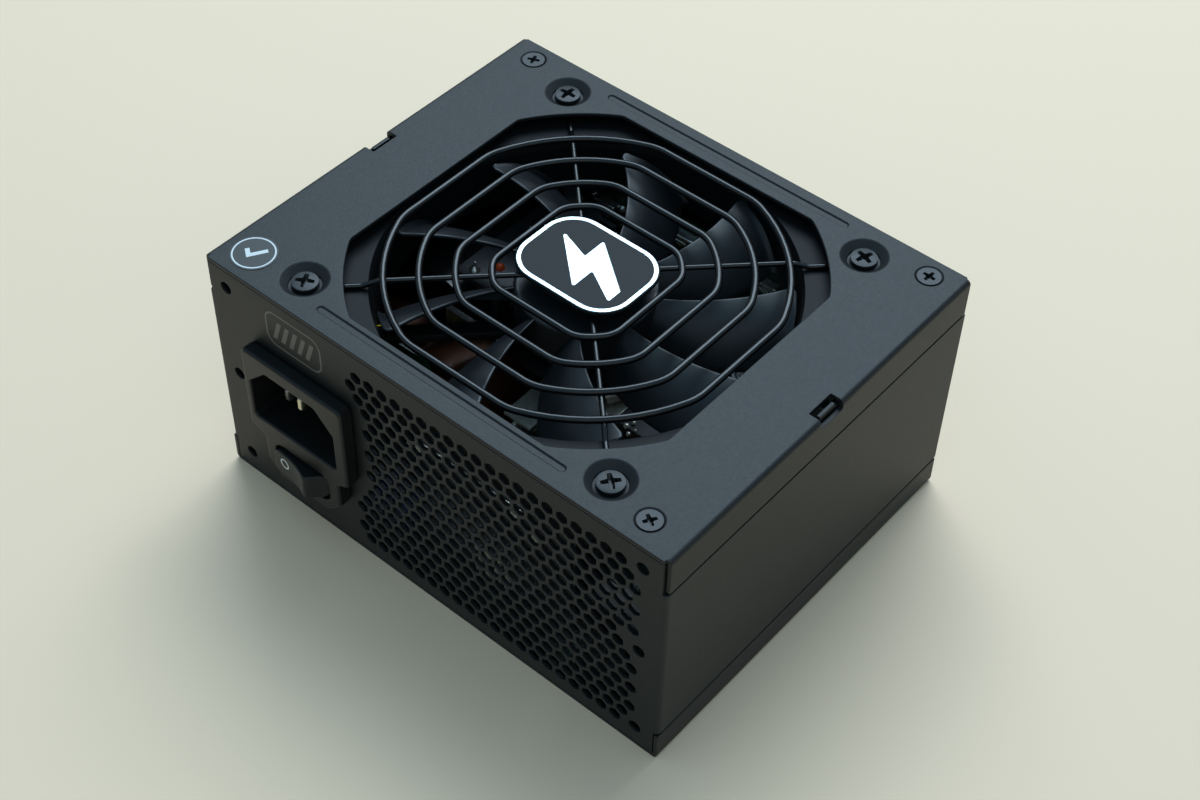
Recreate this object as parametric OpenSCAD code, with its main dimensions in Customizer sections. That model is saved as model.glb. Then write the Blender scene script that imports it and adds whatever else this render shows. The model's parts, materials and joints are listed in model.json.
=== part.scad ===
// Compact modular power supply in a folded sheet-metal case.
// The origin is the centre of the underside. +Z is the fan side, -Y the mains end,
// +Y the socket end. All sizes are in millimetres.

/* [Case] */
// Outside width of the case
case_w = 125; // [124.8:0.1:125.2]
// Outside depth of the case, mains end to socket end
case_d = 100; // [99.8:0.1:100.2]
// Outside height of the case
case_h = 63.5; // [63.5:0.1:63.8]
// Thickness of the sheet metal
sheet = 1; // [0.9:0.05:1]
// Outside radius of the folds
fold_r = 1.2; // [0.8:0.1:1.5]
// Height of the lower edge of the cover's side flanges
flange_z = 54.1; // [53.5:0.1:54.5]
// Height of the upper edge of the tray's side flanges
tray_z = 7.7; // [7.4:0.1:8]
// Visible gap between neighbouring shells
seam = 0.5; // [0.3:0.1:0.6]
// Hidden clearance between nested shells
nest = 0.2; // [0.1:0.05:0.25]

/* [Rear panel] */
// Distance between the left and right fixing holes
fix_w = 113; // [112.8:0.1:113.2]
// Distance between the lower and upper fixing holes
fix_h = 51.5; // [51.3:0.1:51.7]
// Height of the lower fixing holes
fix_z = 6; // [5.9:0.1:6.1]
// Pitch radius of the 6-32 thread in the fixing holes
fix_r = 1.5; // [1.4:0.05:1.6]
// Distance between neighbouring vent holes
vent_pitch = 3.67; // [3.65:0.01:3.7]
// Width of a vent hole across its flats
vent_hole = 2.75; // [2:0.05:2.9]
// Number of rows of vent holes
vent_rows = 17; // [10:1:17]

/* [Fan opening and grille] */
// Radius of the round part of the opening
opening_r = 50.4; // [50:0.1:50.6]
// Half the width of the opening across its flats
opening_half = 43; // [42.5:0.1:43.2]
// Distance between neighbouring fan screws
fan_pitch = 82.5; // [82.4:0.1:82.6]
// Diameter of the grille's ring wire
ring_wire = 1.6; // [1.4:0.1:1.6]
// Diameter of the grille's spoke wire
spoke_wire = 1.2; // [1:0.1:1.3]
// Width of the badge in the middle of the grille
badge_w = 29.2; // [28:0.2:30.6]
// Depth of the badge in the middle of the grille
badge_d = 22.6; // [22:0.1:24]

/* [Fan] */
// Side of the square fan frame
fan_side = 92; // [91.5:0.1:92]
// Height of the fan frame
fan_h = 15; // [14.5:0.1:15]
// Radius of the duct inside the frame
duct_r = 44.9; // [44.5:0.1:45]
// Number of blades
blades = 9; // [5:1:11]
// Radius of the rotor's hub
hub_r = 15.5; // [15:0.1:15.8]
// Radius of the blade tips
tip_r = 44; // [40:0.5:44]

/* [Mains inlet and switch] */
// Centre of the inlet's front plate
plate_x = -35.4; // [-35.6:0.1:-35.2]
// Centre of the mains socket
socket_x = -36; // [-36.2:0.1:-35.9]
// Height of the mains socket's centre
socket_z = 35.1; // [35:0.1:35.2]
// Centre of the rocker
rocker_x = -34.8; // [-34.9:0.1:-34.6]
// Height of the rocker's centre
rocker_z = 18.3; // [18.2:0.1:18.4]
// How far the front plate stands out of the rear panel
plate_out = 3.6; // [3.4:0.1:3.8]
// Angle that the rocker turns between on and off
rocker_swing = 20; // [16:1:20]

/* [Main board] */
// Height of the board's underside
board_z = 5; // [4.8:0.1:5]
// Thickness of the circuit boards
board_t = 1.6; // [1.2:0.1:1.6]

/* [Hidden] */

$fn = 64;
hw = case_w / 2;
hd = case_d / 2;
skin_x = hw - sheet;            // inner face of the outer skin
lip_x = skin_x - nest;          // outer face of the lips that tuck inside it
band_z0 = tray_z + seam;        // lower edge of the visible side wall
band_z1 = flange_z - seam;      // upper edge of the visible side wall
base_gap = 0.05;                // gap between the tray and what stands on it
top_gap = 0.1;                  // gap under the cover
under_top = case_h - sheet;     // underside of the cover
lip_top = under_top - 0.7;      // upper edge of the tucked-in side lips
tab_z = under_top - top_gap - sheet;
foot_z = sheet + base_gap;
screw_r = 1.45;                 // shank radius of the M3 screws
tap_r = 1.5;                    // radius of the holes that they thread into
cover_screw_xy = [[-55, 45], [55, 45], [53, -44], [-53, -44]];
base_screw_xy = [[-53, -44], [53, -44], [-53, 42], [53, 42]];
hook_y0 = -3;
hook_y1 = 4.2;
hook_depth = 3.2;
hook_drop = 1.2;
rib_len = 67;

fan_half = fan_pitch / 2;
dimple_r = 4.65;
dimple_depth = 1;
dimple_floor = under_top - dimple_depth;
eyelet_wire = 1.4;
fan_top = dimple_floor - eyelet_wire;
fan_z = fan_top - fan_h;
rotor_top = fan_top - 1.1;
fan_screw_r = 2.1;
fan_hole_r = 2.15;

ring_z = case_h + 0.05 - ring_wire / 2;
spoke_z = ring_z - 0.65;
ring_half = [16.6, 24.4, 32.4, 40.2];   // half widths of the rings across their flats
ring_round = [19.8, 27.4, 35, 42.4];    // radii of their round corners
ring_blend = [6, 8, 10, 12];            // radii of the bends between the two
badge_plate_r = 11;
badge_t = 1.1;

plate_y = -hd - plate_out;      // front of the inlet's plate
rocker_y = plate_y + 1.6;       // axis of the rocker
lever_y = rocker_y + 7.8;       // axis of the see-saw contact
inlet_back = -34;
filter_y = -27;
socket_board_y = 41;
board_top = board_z + board_t;
spacer_xy = [[-55, -31], [55, -31], [-55.5, 33], [55.5, 29], [-1.5, -30.5], [2, 33]];

black = [0.1, 0.1, 0.11];
case_grey = [0.2, 0.22, 0.24];
steel = [0.62, 0.63, 0.65];
brass = [0.78, 0.64, 0.3];
copper = [0.72, 0.4, 0.2];
ferrite = [0.2, 0.2, 0.22];
tape = [0.85, 0.72, 0.15];
board_green = [0.12, 0.25, 0.16];

// ---------- shared shapes ----------

// A prism along -Y from the plane y = y1, its outline drawn in X and Z.
module along_y(y0, y1) {
  translate([0, y1, 0])
    rotate([90, 0, 0])
      linear_extrude(y1 - y0)
        children();
}

// A box given by its lowest and highest corners.
module block(low, high) {
  translate(low)
    cube(high - low);
}

module round_square(w, d, r) {
  square([w - 2 * r, d], center = true);
  square([w, d - 2 * r], center = true);
  for (x = [-1, 1], y = [-1, 1])
    translate([x * (w / 2 - r), y * (d / 2 - r)])
      circle(r);
}

// What is cut away to round the corner of an outline at [0, 0], whose body lies at -X, -Y.
module corner_cut(r) {
  translate([-r, -r])
    difference() {
      square(r + 1);
      circle(r);
    }
}

module both_sides() {
  children();
  mirror([1, 0, 0])
    children();
}

module at_each(points, z = 0) {
  for (p = points)
    translate([p[0], p[1], z])
      children();
}

module cross_recess(size, depth) {
  for (a = [0, 90])
    rotate(a)
      translate([-size / 2, -size / 8, -depth])
        cube([size, size / 4, depth + 1]);
}

// Countersunk screw, its head's top at z = 0.
module flat_screw(head_r, length) {
  difference() {
    union() {
      translate([0, 0, -sheet])
        cylinder(h = sheet, r1 = screw_r + 0.2, r2 = head_r);
      translate([0, 0, -length])
        cylinder(h = length - sheet + 0.01, r = screw_r);
    }
    cross_recess(head_r * 1.15, 0.6);
  }
}

module flat_screw_hole(head_r) {
  translate([0, 0, -sheet - 0.001])
    cylinder(h = sheet + 0.002, r1 = screw_r + 0.25, r2 = head_r + 0.5);
}

// Pan-head screw, its head resting on z = 0.
module pan_screw(head_r, head_h, shank_r, length) {
  difference() {
    union() {
      cylinder(h = head_h * 0.55, r = head_r);
      translate([0, 0, head_h * 0.55])
        cylinder(h = head_h * 0.45, r1 = head_r, r2 = head_r * 0.62);
      translate([0, 0, -length])
        cylinder(h = length + 0.01, r = shank_r);
    }
    translate([0, 0, head_h])
      cross_recess(head_r * 1.2, head_h * 0.6);
  }
}

// Can-shaped capacitor standing on z = 0, with its rolled groove near the foot.
module can(r, h) {
  difference() {
    cylinder(h = h, r = r);
    translate([0, 0, h * 0.12])
      difference() {
        cylinder(h = 1, r = r + 1);
        translate([0, 0, -0.5])
          cylinder(h = 2, r = r - 0.5);
      }
    translate([0, 0, h - 0.4])
      cylinder(h = 1, r = r - 1);
  }
}

// Ring of rectangular section about the Z axis, from angle 0 to angle a.
module ring_part(r0, r1, h, a = 360) {
  rotate_extrude(angle = a)
    translate([r0, -h / 2])
      square([r1 - r0, h]);
}

// ---------- points along a swept wire ----------

function unit(v) = v / norm(v);
function tangent(p, i) = unit(p[min(i + 1, len(p) - 1)] - p[max(i - 1, 0)]);
function curve_point(p, i, t) =
  let (a = p[max(i - 1, 0)], b = p[i], c = p[i + 1], d = p[min(i + 2, len(p) - 1)])
    0.5 * (2 * b + (c - a) * t + (2 * a - 5 * b + 4 * c - d) * t * t
      + (3 * b - a - 3 * c + d) * t * t * t);
function smooth_path(p, n) = [
  for (i = [0 : len(p) - 2], k = [0 : n - 1]) curve_point(p, i, k / n),
  p[len(p) - 1]
];
function ring_points(p, i, r, m, side) =
  let (t = tangent(p, i), u = unit(cross(t, side)), v = cross(t, u))
    [for (k = [0 : m - 1]) p[i] + r * (cos(360 * k / m) * u + sin(360 * k / m) * v)];
function flatten(lists) = [for (l = lists) each l];

// side is any direction that the wire never runs along.
module wire(points, r, side, steps = 3, m = 8) {
  path = smooth_path(points, steps);
  n = len(path);
  side_faces = [
    for (i = [0 : n - 2], k = [0 : m - 1])
      [i * m + k, (i + 1) * m + k, (i + 1) * m + (k + 1) % m, i * m + (k + 1) % m]
  ];
  polyhedron(
    points = flatten([for (i = [0 : n - 1]) ring_points(path, i, r, m, side)]),
    faces = concat(
      side_faces,
      [[for (k = [0 : m - 1]) k]],
      [[for (k = [m - 1 : -1 : 0]) (n - 1) * m + k]]
    )
  );
}

// ---------- case ----------

module fan_opening() {
  intersection() {
    circle(opening_r, $fn = 96);
    square(2 * opening_half, center = true);
  }
}

module cover_flange() {
  along_y(-hd + 0.7, hd - 0.4)
    difference() {
      translate([skin_x - 1, flange_z])
        square([sheet + 1, case_h - flange_z]);
      translate([skin_x - 2, flange_z - 1])
        square([2, under_top - flange_z + 1]);
      translate([hw, case_h])
        corner_cut(fold_r);
    }
}

module top_cover() {
  color(case_grey)
    difference() {
      union() {
        translate([0, 0, under_top])
          linear_extrude(sheet)
            difference() {
              square([2 * (hw - fold_r), case_d], center = true);
              fan_opening();
            }
        both_sides()
          cover_flange();
        for (x = [-1, 1], y = [-1, 1])
          translate([x * fan_half, y * fan_half, dimple_floor])
            cylinder(h = dimple_depth + 0.2, r = dimple_r + sheet);
      }
      for (x = [-1, 1], y = [-1, 1])
        translate([x * fan_half, y * fan_half, under_top]) {
          cylinder(h = sheet + 1, r = dimple_r);
          translate([0, 0, -2])
            cylinder(h = 3, r = fan_screw_r + 0.3);
        }
      both_sides()
        block([hw - hook_depth, hook_y0, case_h - sheet - hook_drop], [hw + 1, hook_y1, case_h + 1]);
      at_each(cover_screw_xy, case_h)
        flat_screw_hole(2.7);
      for (y = [-45.2, 46.4])
        translate([0, y, case_h])
          rib_groove();
    }
}

module rib_groove() {
  translate([-rib_len / 2, -1, -0.35])
    cube([rib_len, 2, 1]);
}

module vent_cell() {
  rotate(30)
    circle(d = vent_hole / cos(30), $fn = 6);
}

function vent_row_z(row) = 56.4 - row * vent_pitch * sin(60);
function vent_x(row, col) = 18.21 - (row % 2) * vent_pitch / 2 + col * vent_pitch;
function clear_of_holes(x, z) =
  min([for (fx = [-1, 1], fz = [0, 1, 2]) norm([x - fx * fix_w / 2, z - fix_z - fz * fix_h / 2])]) > 4.3;
function beside_inlet(z) = z > 20 && z < 48.4;

module vent_pattern() {
  for (row = [0 : vent_rows - 1], col = [-11 : 11]) {
    x = vent_x(row, col);
    z = vent_row_z(row);
    if (x < 56.6 && x > (beside_inlet(z) ? -17 : -20.6) && clear_of_holes(x, z))
      translate([x, z])
        vent_cell();
  }
}

// Hole in the rear panel for the inlet's body.
module inlet_cutout() {
  translate([socket_x - 13.45, socket_z - 9.95])
    square([26.9, 19.9]);
  translate([rocker_x - 9.5, rocker_z - 6.2])
    square([19, 12]);
}

module rear_panel() {
  along_y(-hd, -hd + sheet)
    difference() {
      translate([-lip_x, sheet + base_gap])
        square([2 * lip_x, under_top - top_gap - sheet - base_gap]);
      vent_pattern();
      inlet_cutout();
      for (x = [-1, 1], k = [0, 1, 2])
        translate([x * fix_w / 2, fix_z + k * fix_h / 2])
          circle(fix_r);
    }
}

// Side wall with the lips that tuck behind the cover and the tray.
module side_wall() {
  along_y(-hd + sheet - 0.01, hd)
    polygon([
      [hw, band_z0], [hw, band_z1], [lip_x, band_z1], [lip_x, lip_top],
      [lip_x - sheet, lip_top], [lip_x - sheet, band_z1 - sheet], [skin_x, band_z1 - sheet],
      [skin_x, band_z0 + sheet], [lip_x - sheet, band_z0 + sheet],
      [lip_x - sheet, sheet + base_gap], [lip_x, sheet + base_gap], [lip_x, band_z0]
    ]);
}

// The fold between the rear panel and a side wall.
module rear_fold() {
  translate([0, 0, band_z0])
    linear_extrude(band_z1 - band_z0)
      difference() {
        translate([lip_x - 2, -hd])
          square([hw - lip_x + 2, 3]);
        translate([lip_x - 3, -hd + sheet])
          square([skin_x - lip_x + 3, 3]);
        translate([hw, -hd])
          mirror([0, 1])
            corner_cut(fold_r);
      }
}

// Flat tab with a threaded hole; its collar hangs below it when deep is true.
module tapped_tab(low, high, hole, deep) {
  difference() {
    union() {
      block(low, high);
      if (deep)
        translate([hole[0], hole[1], low[2] - 2])
          cylinder(h = 2.5, r = 2.6);
    }
    translate([hole[0], hole[1], low[2] - 3])
      cylinder(h = 6, r = tap_r);
  }
}

module wrap_shell() {
  color(case_grey) {
    rear_panel();
    both_sides() {
      side_wall();
      rear_fold();
      tapped_tab([48, -hd + sheet / 2, tab_z], [58, -39, tab_z + sheet], [53, -44], true);
      tapped_tab([48, -hd + sheet / 2, foot_z], [58, -39, foot_z + sheet], [53, -44], false);
      tapped_tab([48, 37, foot_z], [lip_x - sheet / 2, 47, foot_z + sheet], [53, 42], false);
      // hook that rises into the cover's notch
      block([lip_x - sheet, hook_y0 + 1, lip_top - 2], [lip_x, hook_y1 - 1, case_h - 0.6]);
    }
  }
}

// Modular sockets: each entry is [number of columns, left edge, row height].
socket_pitch = 4.2;
socket_h = 2 * socket_pitch + 1.2;
upper_cols = [9, 4, 4, 4];
lower_cols = [5, 4, 4, 3, 3];
function socket_w(cols) = cols * socket_pitch + 1.2;
function sum_to(list, n) = n < 1 ? 0 : list[n - 1] + sum_to(list, n - 1);
function row_width(cols, gap) =
  sum_to([for (c = cols) socket_w(c)], len(cols)) + gap * (len(cols) - 1);
function socket_row(cols, gap, z) = [
  for (i = [0 : len(cols) - 1])
    [cols[i], -row_width(cols, gap) / 2 + sum_to([for (c = cols) socket_w(c)], i) + i * gap, z]
];
sockets = concat(socket_row(upper_cols, 3.6, 36), socket_row(lower_cols, 3.6, 20));

module socket_outlines(extra) {
  for (s = sockets)
    translate([s[1] - extra, s[2] - socket_h / 2 - extra])
      square([socket_w(s[0]) + 2 * extra, socket_h + 2 * extra]);
}

module bottom_tray() {
  color(case_grey)
    difference() {
      union() {
        translate([-hw + fold_r, -hd, 0])
          cube([case_w - 2 * fold_r, case_d, sheet]);
        both_sides()
          along_y(-hd, hd)
            difference() {
              translate([skin_x - 1, 0])
                square([sheet + 1, tray_z]);
              translate([skin_x - 2, sheet])
                square([2, tray_z]);
              translate([hw, 0])
                mirror([0, 1])
                  corner_cut(fold_r);
            }
        along_y(hd - sheet, hd)
          difference() {
            translate([-lip_x + sheet + 0.15, sheet / 2])
              square([2 * (lip_x - sheet - 0.15), under_top - top_gap - sheet / 2]);
            socket_outlines(0.1);
          }
        // tabs under the cover's front screws
        both_sides() {
          block([50, 40, tab_z], [lip_x - sheet - 0.4, hd - sheet / 2, tab_z + sheet]);
          translate([55, 45, tab_z - 2])
            cylinder(h = 2.5, r = 2.6);
        }
      }
      at_each([[55, 45], [-55, 45]], 56)
        cylinder(h = 10, r = tap_r);
      for (p = base_screw_xy)
        translate([p[0], p[1], 0])
          mirror([0, 0, 1])
            flat_screw_hole(2.7);
    }
}

module insulation_sheet() {
  color([0.75, 0.72, 0.6])
    difference() {
      block([-50.5, -45, sheet], [50.5, 38, sheet + 0.3]);
      at_each([[48, -50, 0], [-48, -50, 0]])
        translate([-6, 0, 0])
          cube([12, 12, 5]);
      at_each(spacer_xy)
        cylinder(h = 5, r = 3.6);
    }
}

module cover_screws() {
  color(black)
    at_each(cover_screw_xy, case_h)
      flat_screw(2.7, 5);
}

module base_screws() {
  color(black)
    at_each(base_screw_xy)
      mirror([0, 0, 1])
        flat_screw(2.7, 4);
}

module seal_sticker() {
  color([0.3, 0.31, 0.33])
    translate([-54.75, -42.8, case_h])
      cylinder(h = 0.12, r = 5.15);
}

module fan_screws() {
  color(black)
    for (x = [-1, 1], y = [-1, 1])
      translate([x * fan_half, y * fan_half, under_top])
        pan_screw(2.95, 1, fan_screw_r, 11);
}

// ---------- grille ----------

// Points along an eighth of a ring: the end of a flat, a bend, then the round corner to 45 degrees.
bend_steps = 4;
round_steps = 3;
function octant(half, round_r, blend_r) =
  let (
    in_x = half - blend_r,
    in_y = sqrt(pow(round_r - blend_r, 2) - pow(in_x, 2)),
    turn = atan2(in_y, in_x)
  )
    concat(
      [for (j = [0 : bend_steps]) let (a = turn * j / bend_steps)
        [in_x + blend_r * cos(a), in_y + blend_r * sin(a)]],
      [for (j = [1 : round_steps]) let (a = turn + (45 - turn) * j / round_steps)
        [round_r * cos(a), round_r * sin(a)]]
    );
function quarter(eighth) =
  concat(eighth, [for (j = [len(eighth) - 2 : -1 : 0]) [eighth[j][1], eighth[j][0]]]);
function turned(points, a) =
  [for (p = points) [p[0] * cos(a) - p[1] * sin(a), p[0] * sin(a) + p[1] * cos(a)]];
function ring_path(half, round_r, blend_r) =
  let (q = quarter(octant(half, round_r, blend_r)))
    concat(q, turned(q, 90), turned(q, 180), turned(q, 270));

module wire_ring(path, r, m = 8) {
  n = len(path);
  points = flatten([
    for (i = [0 : n - 1])
      let (t = path[(i + 1) % n] - path[(i + n - 1) % n], out = [t[1], -t[0]] / norm(t))
        [for (k = [0 : m - 1]) let (a = 360 * (k + 0.5) / m)
          [path[i][0] + r * cos(a) * out[0], path[i][1] + r * cos(a) * out[1], r * sin(a)]]
  ]);
  polyhedron(
    points = points,
    faces = [
      for (i = [0 : n - 1], k = [0 : m - 1])
        let (next = (i + 1) % n, up = (k + 1) % m)
          each [[i * m + k, i * m + up, next * m + up], [i * m + k, next * m + up, next * m + k]]
    ]
  );
}

module spoke() {
  bend_r0 = 43.7;
  bend_r1 = 46.6;
  eyelet_z = fan_top + eyelet_wire / 2;
  drop = spoke_z - eyelet_z;
  slope = atan2(drop, bend_r1 - bend_r0);
  translate([9, 0, spoke_z])
    rotate([0, 90, 0])
      cylinder(h = bend_r0 - 9 + 0.1, d = spoke_wire, $fn = 24);
  translate([bend_r0, 0, spoke_z])
    rotate([0, 90 + slope, 0])
      cylinder(h = norm([drop, bend_r1 - bend_r0]), d = spoke_wire, $fn = 24);
  translate([bend_r1 - 0.1, 0, eyelet_z])
    rotate([0, 90, 0])
      cylinder(h = fan_half * sqrt(2) - bend_r1 - 3, d = spoke_wire, $fn = 24);
  translate([fan_half * sqrt(2), 0, eyelet_z])
    rotate_extrude()
      translate([3.2, 0])
        circle(d = eyelet_wire, $fn = 24);
}

module fan_grille() {
  color(black) {
    for (i = [0 : 3])
      translate([0, 0, ring_z])
        wire_ring(ring_path(ring_half[i], ring_round[i], ring_blend[i]), ring_wire / 2);
    for (a = [45 : 90 : 315])
      rotate(a)
        spoke();
  }
}

module badge_plate() {
  color(steel)
    translate([0, 0, spoke_z + spoke_wire / 2])
      cylinder(h = case_h - spoke_z - spoke_wire / 2, r = badge_plate_r);
}

module badge() {
  color([0.3, 0.33, 0.36])
    translate([0, 0, case_h])
      linear_extrude(badge_t)
        round_square(badge_w, badge_d, 8);
}

// ---------- fan ----------

boss_r = 4.2;
bearing_r = 3.1;
shaft_r = 1.5;
yoke_r = 14.25;
magnet_r = 13.45;
hub_wall = 1.2;
blade_low = fan_z + 3.2;
blade_high = rotor_top - 0.8;

module fan_frame() {
  color(black)
    translate([0, 0, fan_z])
      difference() {
        union() {
          difference() {
            linear_extrude(fan_h)
              round_square(fan_side, fan_side, 4);
            translate([0, 0, -1])
              cylinder(h = fan_h + 2, r = duct_r, $fn = 96);
            translate([0, 0, fan_h - 2])
              cylinder(h = 2.01, r1 = duct_r, r2 = duct_r + 0.7, $fn = 96);
          }
          cylinder(h = 1.8, r = 17.5);
          cylinder(h = 10.4, r = boss_r);
          for (a = [45 : 90 : 315])
            rotate(a)
              translate([16, -2, 0])
                cube([duct_r - 15.5, 4, 2.2]);
        }
        translate([0, 0, 2.2])
          cylinder(h = 10, r = bearing_r);
        for (x = [-1, 1], y = [-1, 1])
          translate([x * fan_half, y * fan_half, -1])
            cylinder(h = fan_h + 2, r = fan_hole_r);
      }
}

module fan_bearing() {
  color(brass)
    translate([0, 0, fan_z + 2.2])
      difference() {
        cylinder(h = 8, r = bearing_r);
        translate([0, 0, -1])
          cylinder(h = 10, r = shaft_r + 0.04);
      }
}

module stator_outline() {
  difference() {
    union() {
      circle(6.6);
      for (a = [0 : 90 : 270])
        rotate(a)
          translate([5, -1.6])
            square([5, 3.2]);
      for (a = [0 : 90 : 270])
        rotate(a)
          intersection() {
            difference() {
              circle(11.6);
              circle(9.8);
            }
            polygon([[0, 0], [14, -11], [14, 11]]);
          }
    }
    circle(boss_r + 0.05);
  }
}

module fan_stator() {
  color(steel)
    translate([0, 0, fan_z + 5.6])
      linear_extrude(3.6)
        stator_outline();
}

module fan_coils() {
  color(copper)
    for (a = [0 : 90 : 270])
      rotate(a)
        difference() {
          block([6.9, -3, fan_z + 4.6], [9.2, 3, fan_z + 10.2]);
          block([6, -1.65, fan_z + 5.55], [10, 1.65, fan_z + 9.25]);
        }
}

module fan_board() {
  color(board_green)
    translate([0, 0, fan_z + 2.2])
      difference() {
        cylinder(h = 1.2, r = 11.5);
        translate([0, 0, -1])
          cylinder(h = 3, r = boss_r + 0.1);
      }
}

// A blade is a thin skin over points that follow the radius and the chord.
// It leaves flat at its leading edge and steepens towards the trailing one.
root_lead = 25.5;
lead_sweep = 15.5;
root_chord = 25;
chord_taper = 5;
camber = 0.2;
blade_rows = 6;
blade_cols = 6;
blade_t = 1.1;
function blade_r(i) = hub_r - 0.6 + (tip_r - hub_r + 0.6) * i / (blade_rows - 1);
function blade_lead(i) = root_lead + lead_sweep * i / (blade_rows - 1);
function blade_chord(i) = root_chord - chord_taper * i / (blade_rows - 1);
function blade_point(i, j, up) =
  let (
    t = j / (blade_cols - 1),
    a = blade_lead(i) - blade_chord(i) * t,
    z = blade_high - (blade_high - blade_low) * (t - camber * sin(180 * t))
  )
    [blade_r(i) * cos(a), blade_r(i) * sin(a), z + up * (blade_t / 2) * (1 - 0.5 * t)];
function blade_index(i, j, up) = (up > 0 ? 0 : blade_rows * blade_cols) + i * blade_cols + j;

module blade() {
  n = blade_rows - 1;
  m = blade_cols - 1;
  quads = flatten([
    for (i = [0 : n - 1], j = [0 : m - 1]) [
      [
        blade_index(i, j, 1), blade_index(i + 1, j, 1),
        blade_index(i + 1, j + 1, 1), blade_index(i, j + 1, 1)
      ],
      [
        blade_index(i, j, -1), blade_index(i, j + 1, -1),
        blade_index(i + 1, j + 1, -1), blade_index(i + 1, j, -1)
      ]
    ]
  ]);
  ends = flatten([
    for (j = [0 : m - 1]) [
      [blade_index(0, j, 1), blade_index(0, j + 1, 1), blade_index(0, j + 1, -1), blade_index(0, j, -1)],
      [blade_index(n, j, -1), blade_index(n, j + 1, -1), blade_index(n, j + 1, 1), blade_index(n, j, 1)]
    ]
  ]);
  edges = flatten([
    for (i = [0 : n - 1]) [
      [blade_index(i, 0, -1), blade_index(i + 1, 0, -1), blade_index(i + 1, 0, 1), blade_index(i, 0, 1)],
      [blade_index(i, m, 1), blade_index(i + 1, m, 1), blade_index(i + 1, m, -1), blade_index(i, m, -1)]
    ]
  ]);
  triangles = flatten([for (q = concat(quads, ends, edges)) [[q[0], q[1], q[2]], [q[0], q[2], q[3]]]]);
  polyhedron(
    points = [
      for (up = [1, -1], i = [0 : n], j = [0 : m]) blade_point(i, j, up)
    ],
    faces = triangles
  );
}

module fan_rotor() {
  color(black) {
    difference() {
      translate([0, 0, blade_low + 0.3])
        cylinder(h = rotor_top - blade_low - 0.3, r = hub_r);
      translate([0, 0, blade_low - 1])
        cylinder(h = rotor_top - hub_wall - blade_low + 1, r = yoke_r + 0.05);
    }
    translate([0, 0, rotor_top - hub_wall - 1.9])
      difference() {
        cylinder(h = 2, r = 3.2);
        translate([0, 0, -1])
          cylinder(h = 2.9, r = shaft_r);
      }
    for (k = [0 : blades - 1])
      rotate(360 * k / blades)
        blade();
  }
}

module rotor_yoke() {
  color(steel)
    translate([0, 0, blade_low + 0.6])
      difference() {
        cylinder(h = rotor_top - hub_wall - blade_low - 0.65, r = yoke_r);
        translate([0, 0, -1])
          cylinder(h = 20, r = magnet_r + 0.02);
      }
}

module rotor_magnet() {
  color(ferrite)
    translate([0, 0, blade_low + 1])
      difference() {
        cylinder(h = 7.4, r = magnet_r);
        translate([0, 0, -1])
          cylinder(h = 20, r = 12);
      }
}

module fan_shaft() {
  color(steel)
    translate([0, 0, fan_z + 2.6])
      cylinder(h = rotor_top - hub_wall - 0.2 - fan_z - 2.6, r = shaft_r);
}

header_x = 52;
header_y = 35.2;
header_top = board_top + 7;

module fan_lead() {
  color(black)
    wire([
      [33.6, 33.6, fan_z - 0.3], [33.6, 33.6, 42.5], [35, 35, 38], [39, 37, 30], [46, 37.2, 24.5],
      [50.5, 36, 23.2], [header_x, header_y, 21.6], [header_x, header_y, 19.8]
    ], 1.1, [0, 1, 0]);
}

module fan_plug() {
  color([0.85, 0.84, 0.8])
    block([header_x - 2.7, header_y - 1.7, header_top - 1.4], [header_x + 2.7, header_y + 1.7, 19.6]);
}

module fan_header() {
  color([0.85, 0.84, 0.8])
    difference() {
      block([header_x - 3.8, header_y - 2.8, board_top], [header_x + 3.8, header_y + 2.8, header_top]);
      block(
        [header_x - 2.8, header_y - 1.8, header_top - 1.4],
        [header_x + 2.8, header_y + 1.8, header_top + 1]
      );
    }
}

// ---------- mains inlet and switch ----------

plate_w = 30;
plate_top = socket_z + 11.8;
plate_mid = socket_z - 11.2;
switch_half = 11.3;
switch_chamfer = 4;
recess_w = 24.8;
recess_h = 15.6;
cavity_w = 16.4;
cavity_h = 8;
cavity_back = -41.4;
lever_pin_r = 0.38;
recess_back = plate_y + 16;

module plate_outline() {
  polygon([
    [plate_x - plate_w / 2, plate_top],
    [plate_x + plate_w / 2, plate_top],
    [plate_x + plate_w / 2, plate_mid],
    [rocker_x + switch_half, plate_mid - 1.7],
    [rocker_x + switch_half, rocker_z - 2.9],
    [rocker_x + switch_half - switch_chamfer, rocker_z - 2.9 - switch_chamfer],
    [rocker_x - switch_half + switch_chamfer, rocker_z - 2.9 - switch_chamfer],
    [rocker_x - switch_half, rocker_z - 2.9],
    [rocker_x - switch_half, plate_mid - 1.7],
    [plate_x - plate_w / 2, plate_mid]
  ]);
}

module recess_outline() {
  bevel = 5;
  polygon([
    [-recess_w / 2, -recess_h / 2], [recess_w / 2, -recess_h / 2],
    [recess_w / 2, recess_h / 2 - bevel], [recess_w / 2 - bevel, recess_h / 2],
    [-recess_w / 2 + bevel, recess_h / 2], [-recess_w / 2, recess_h / 2 - bevel]
  ]);
}

// Where the inlet's three prongs pass through, as rectangles of the given size.
module prong_places(w, h) {
  for (p = [[-7, -2], [7, -2], [0, 2]])
    translate([socket_x + p[0], socket_z + p[1]])
      square([w, h], center = true);
}

// Where the switch's two terminals pass through.
module terminal_places(w, h) {
  for (x = [rocker_x, load_x])
    translate([x, rocker_z])
      square([w, h], center = true);
}

// A prong of the inlet and its solder tail, about the socket's axis.
module prong(x, z, tip_y) {
  block([socket_x + x - 1, tip_y, z - 2], [socket_x + x + 1, inlet_back, z + 2]);
  block([socket_x + x - 0.4, inlet_back - 0.01, z - 2], [socket_x + x + 0.4, filter_y + 3, z + 2]);
}

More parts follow.
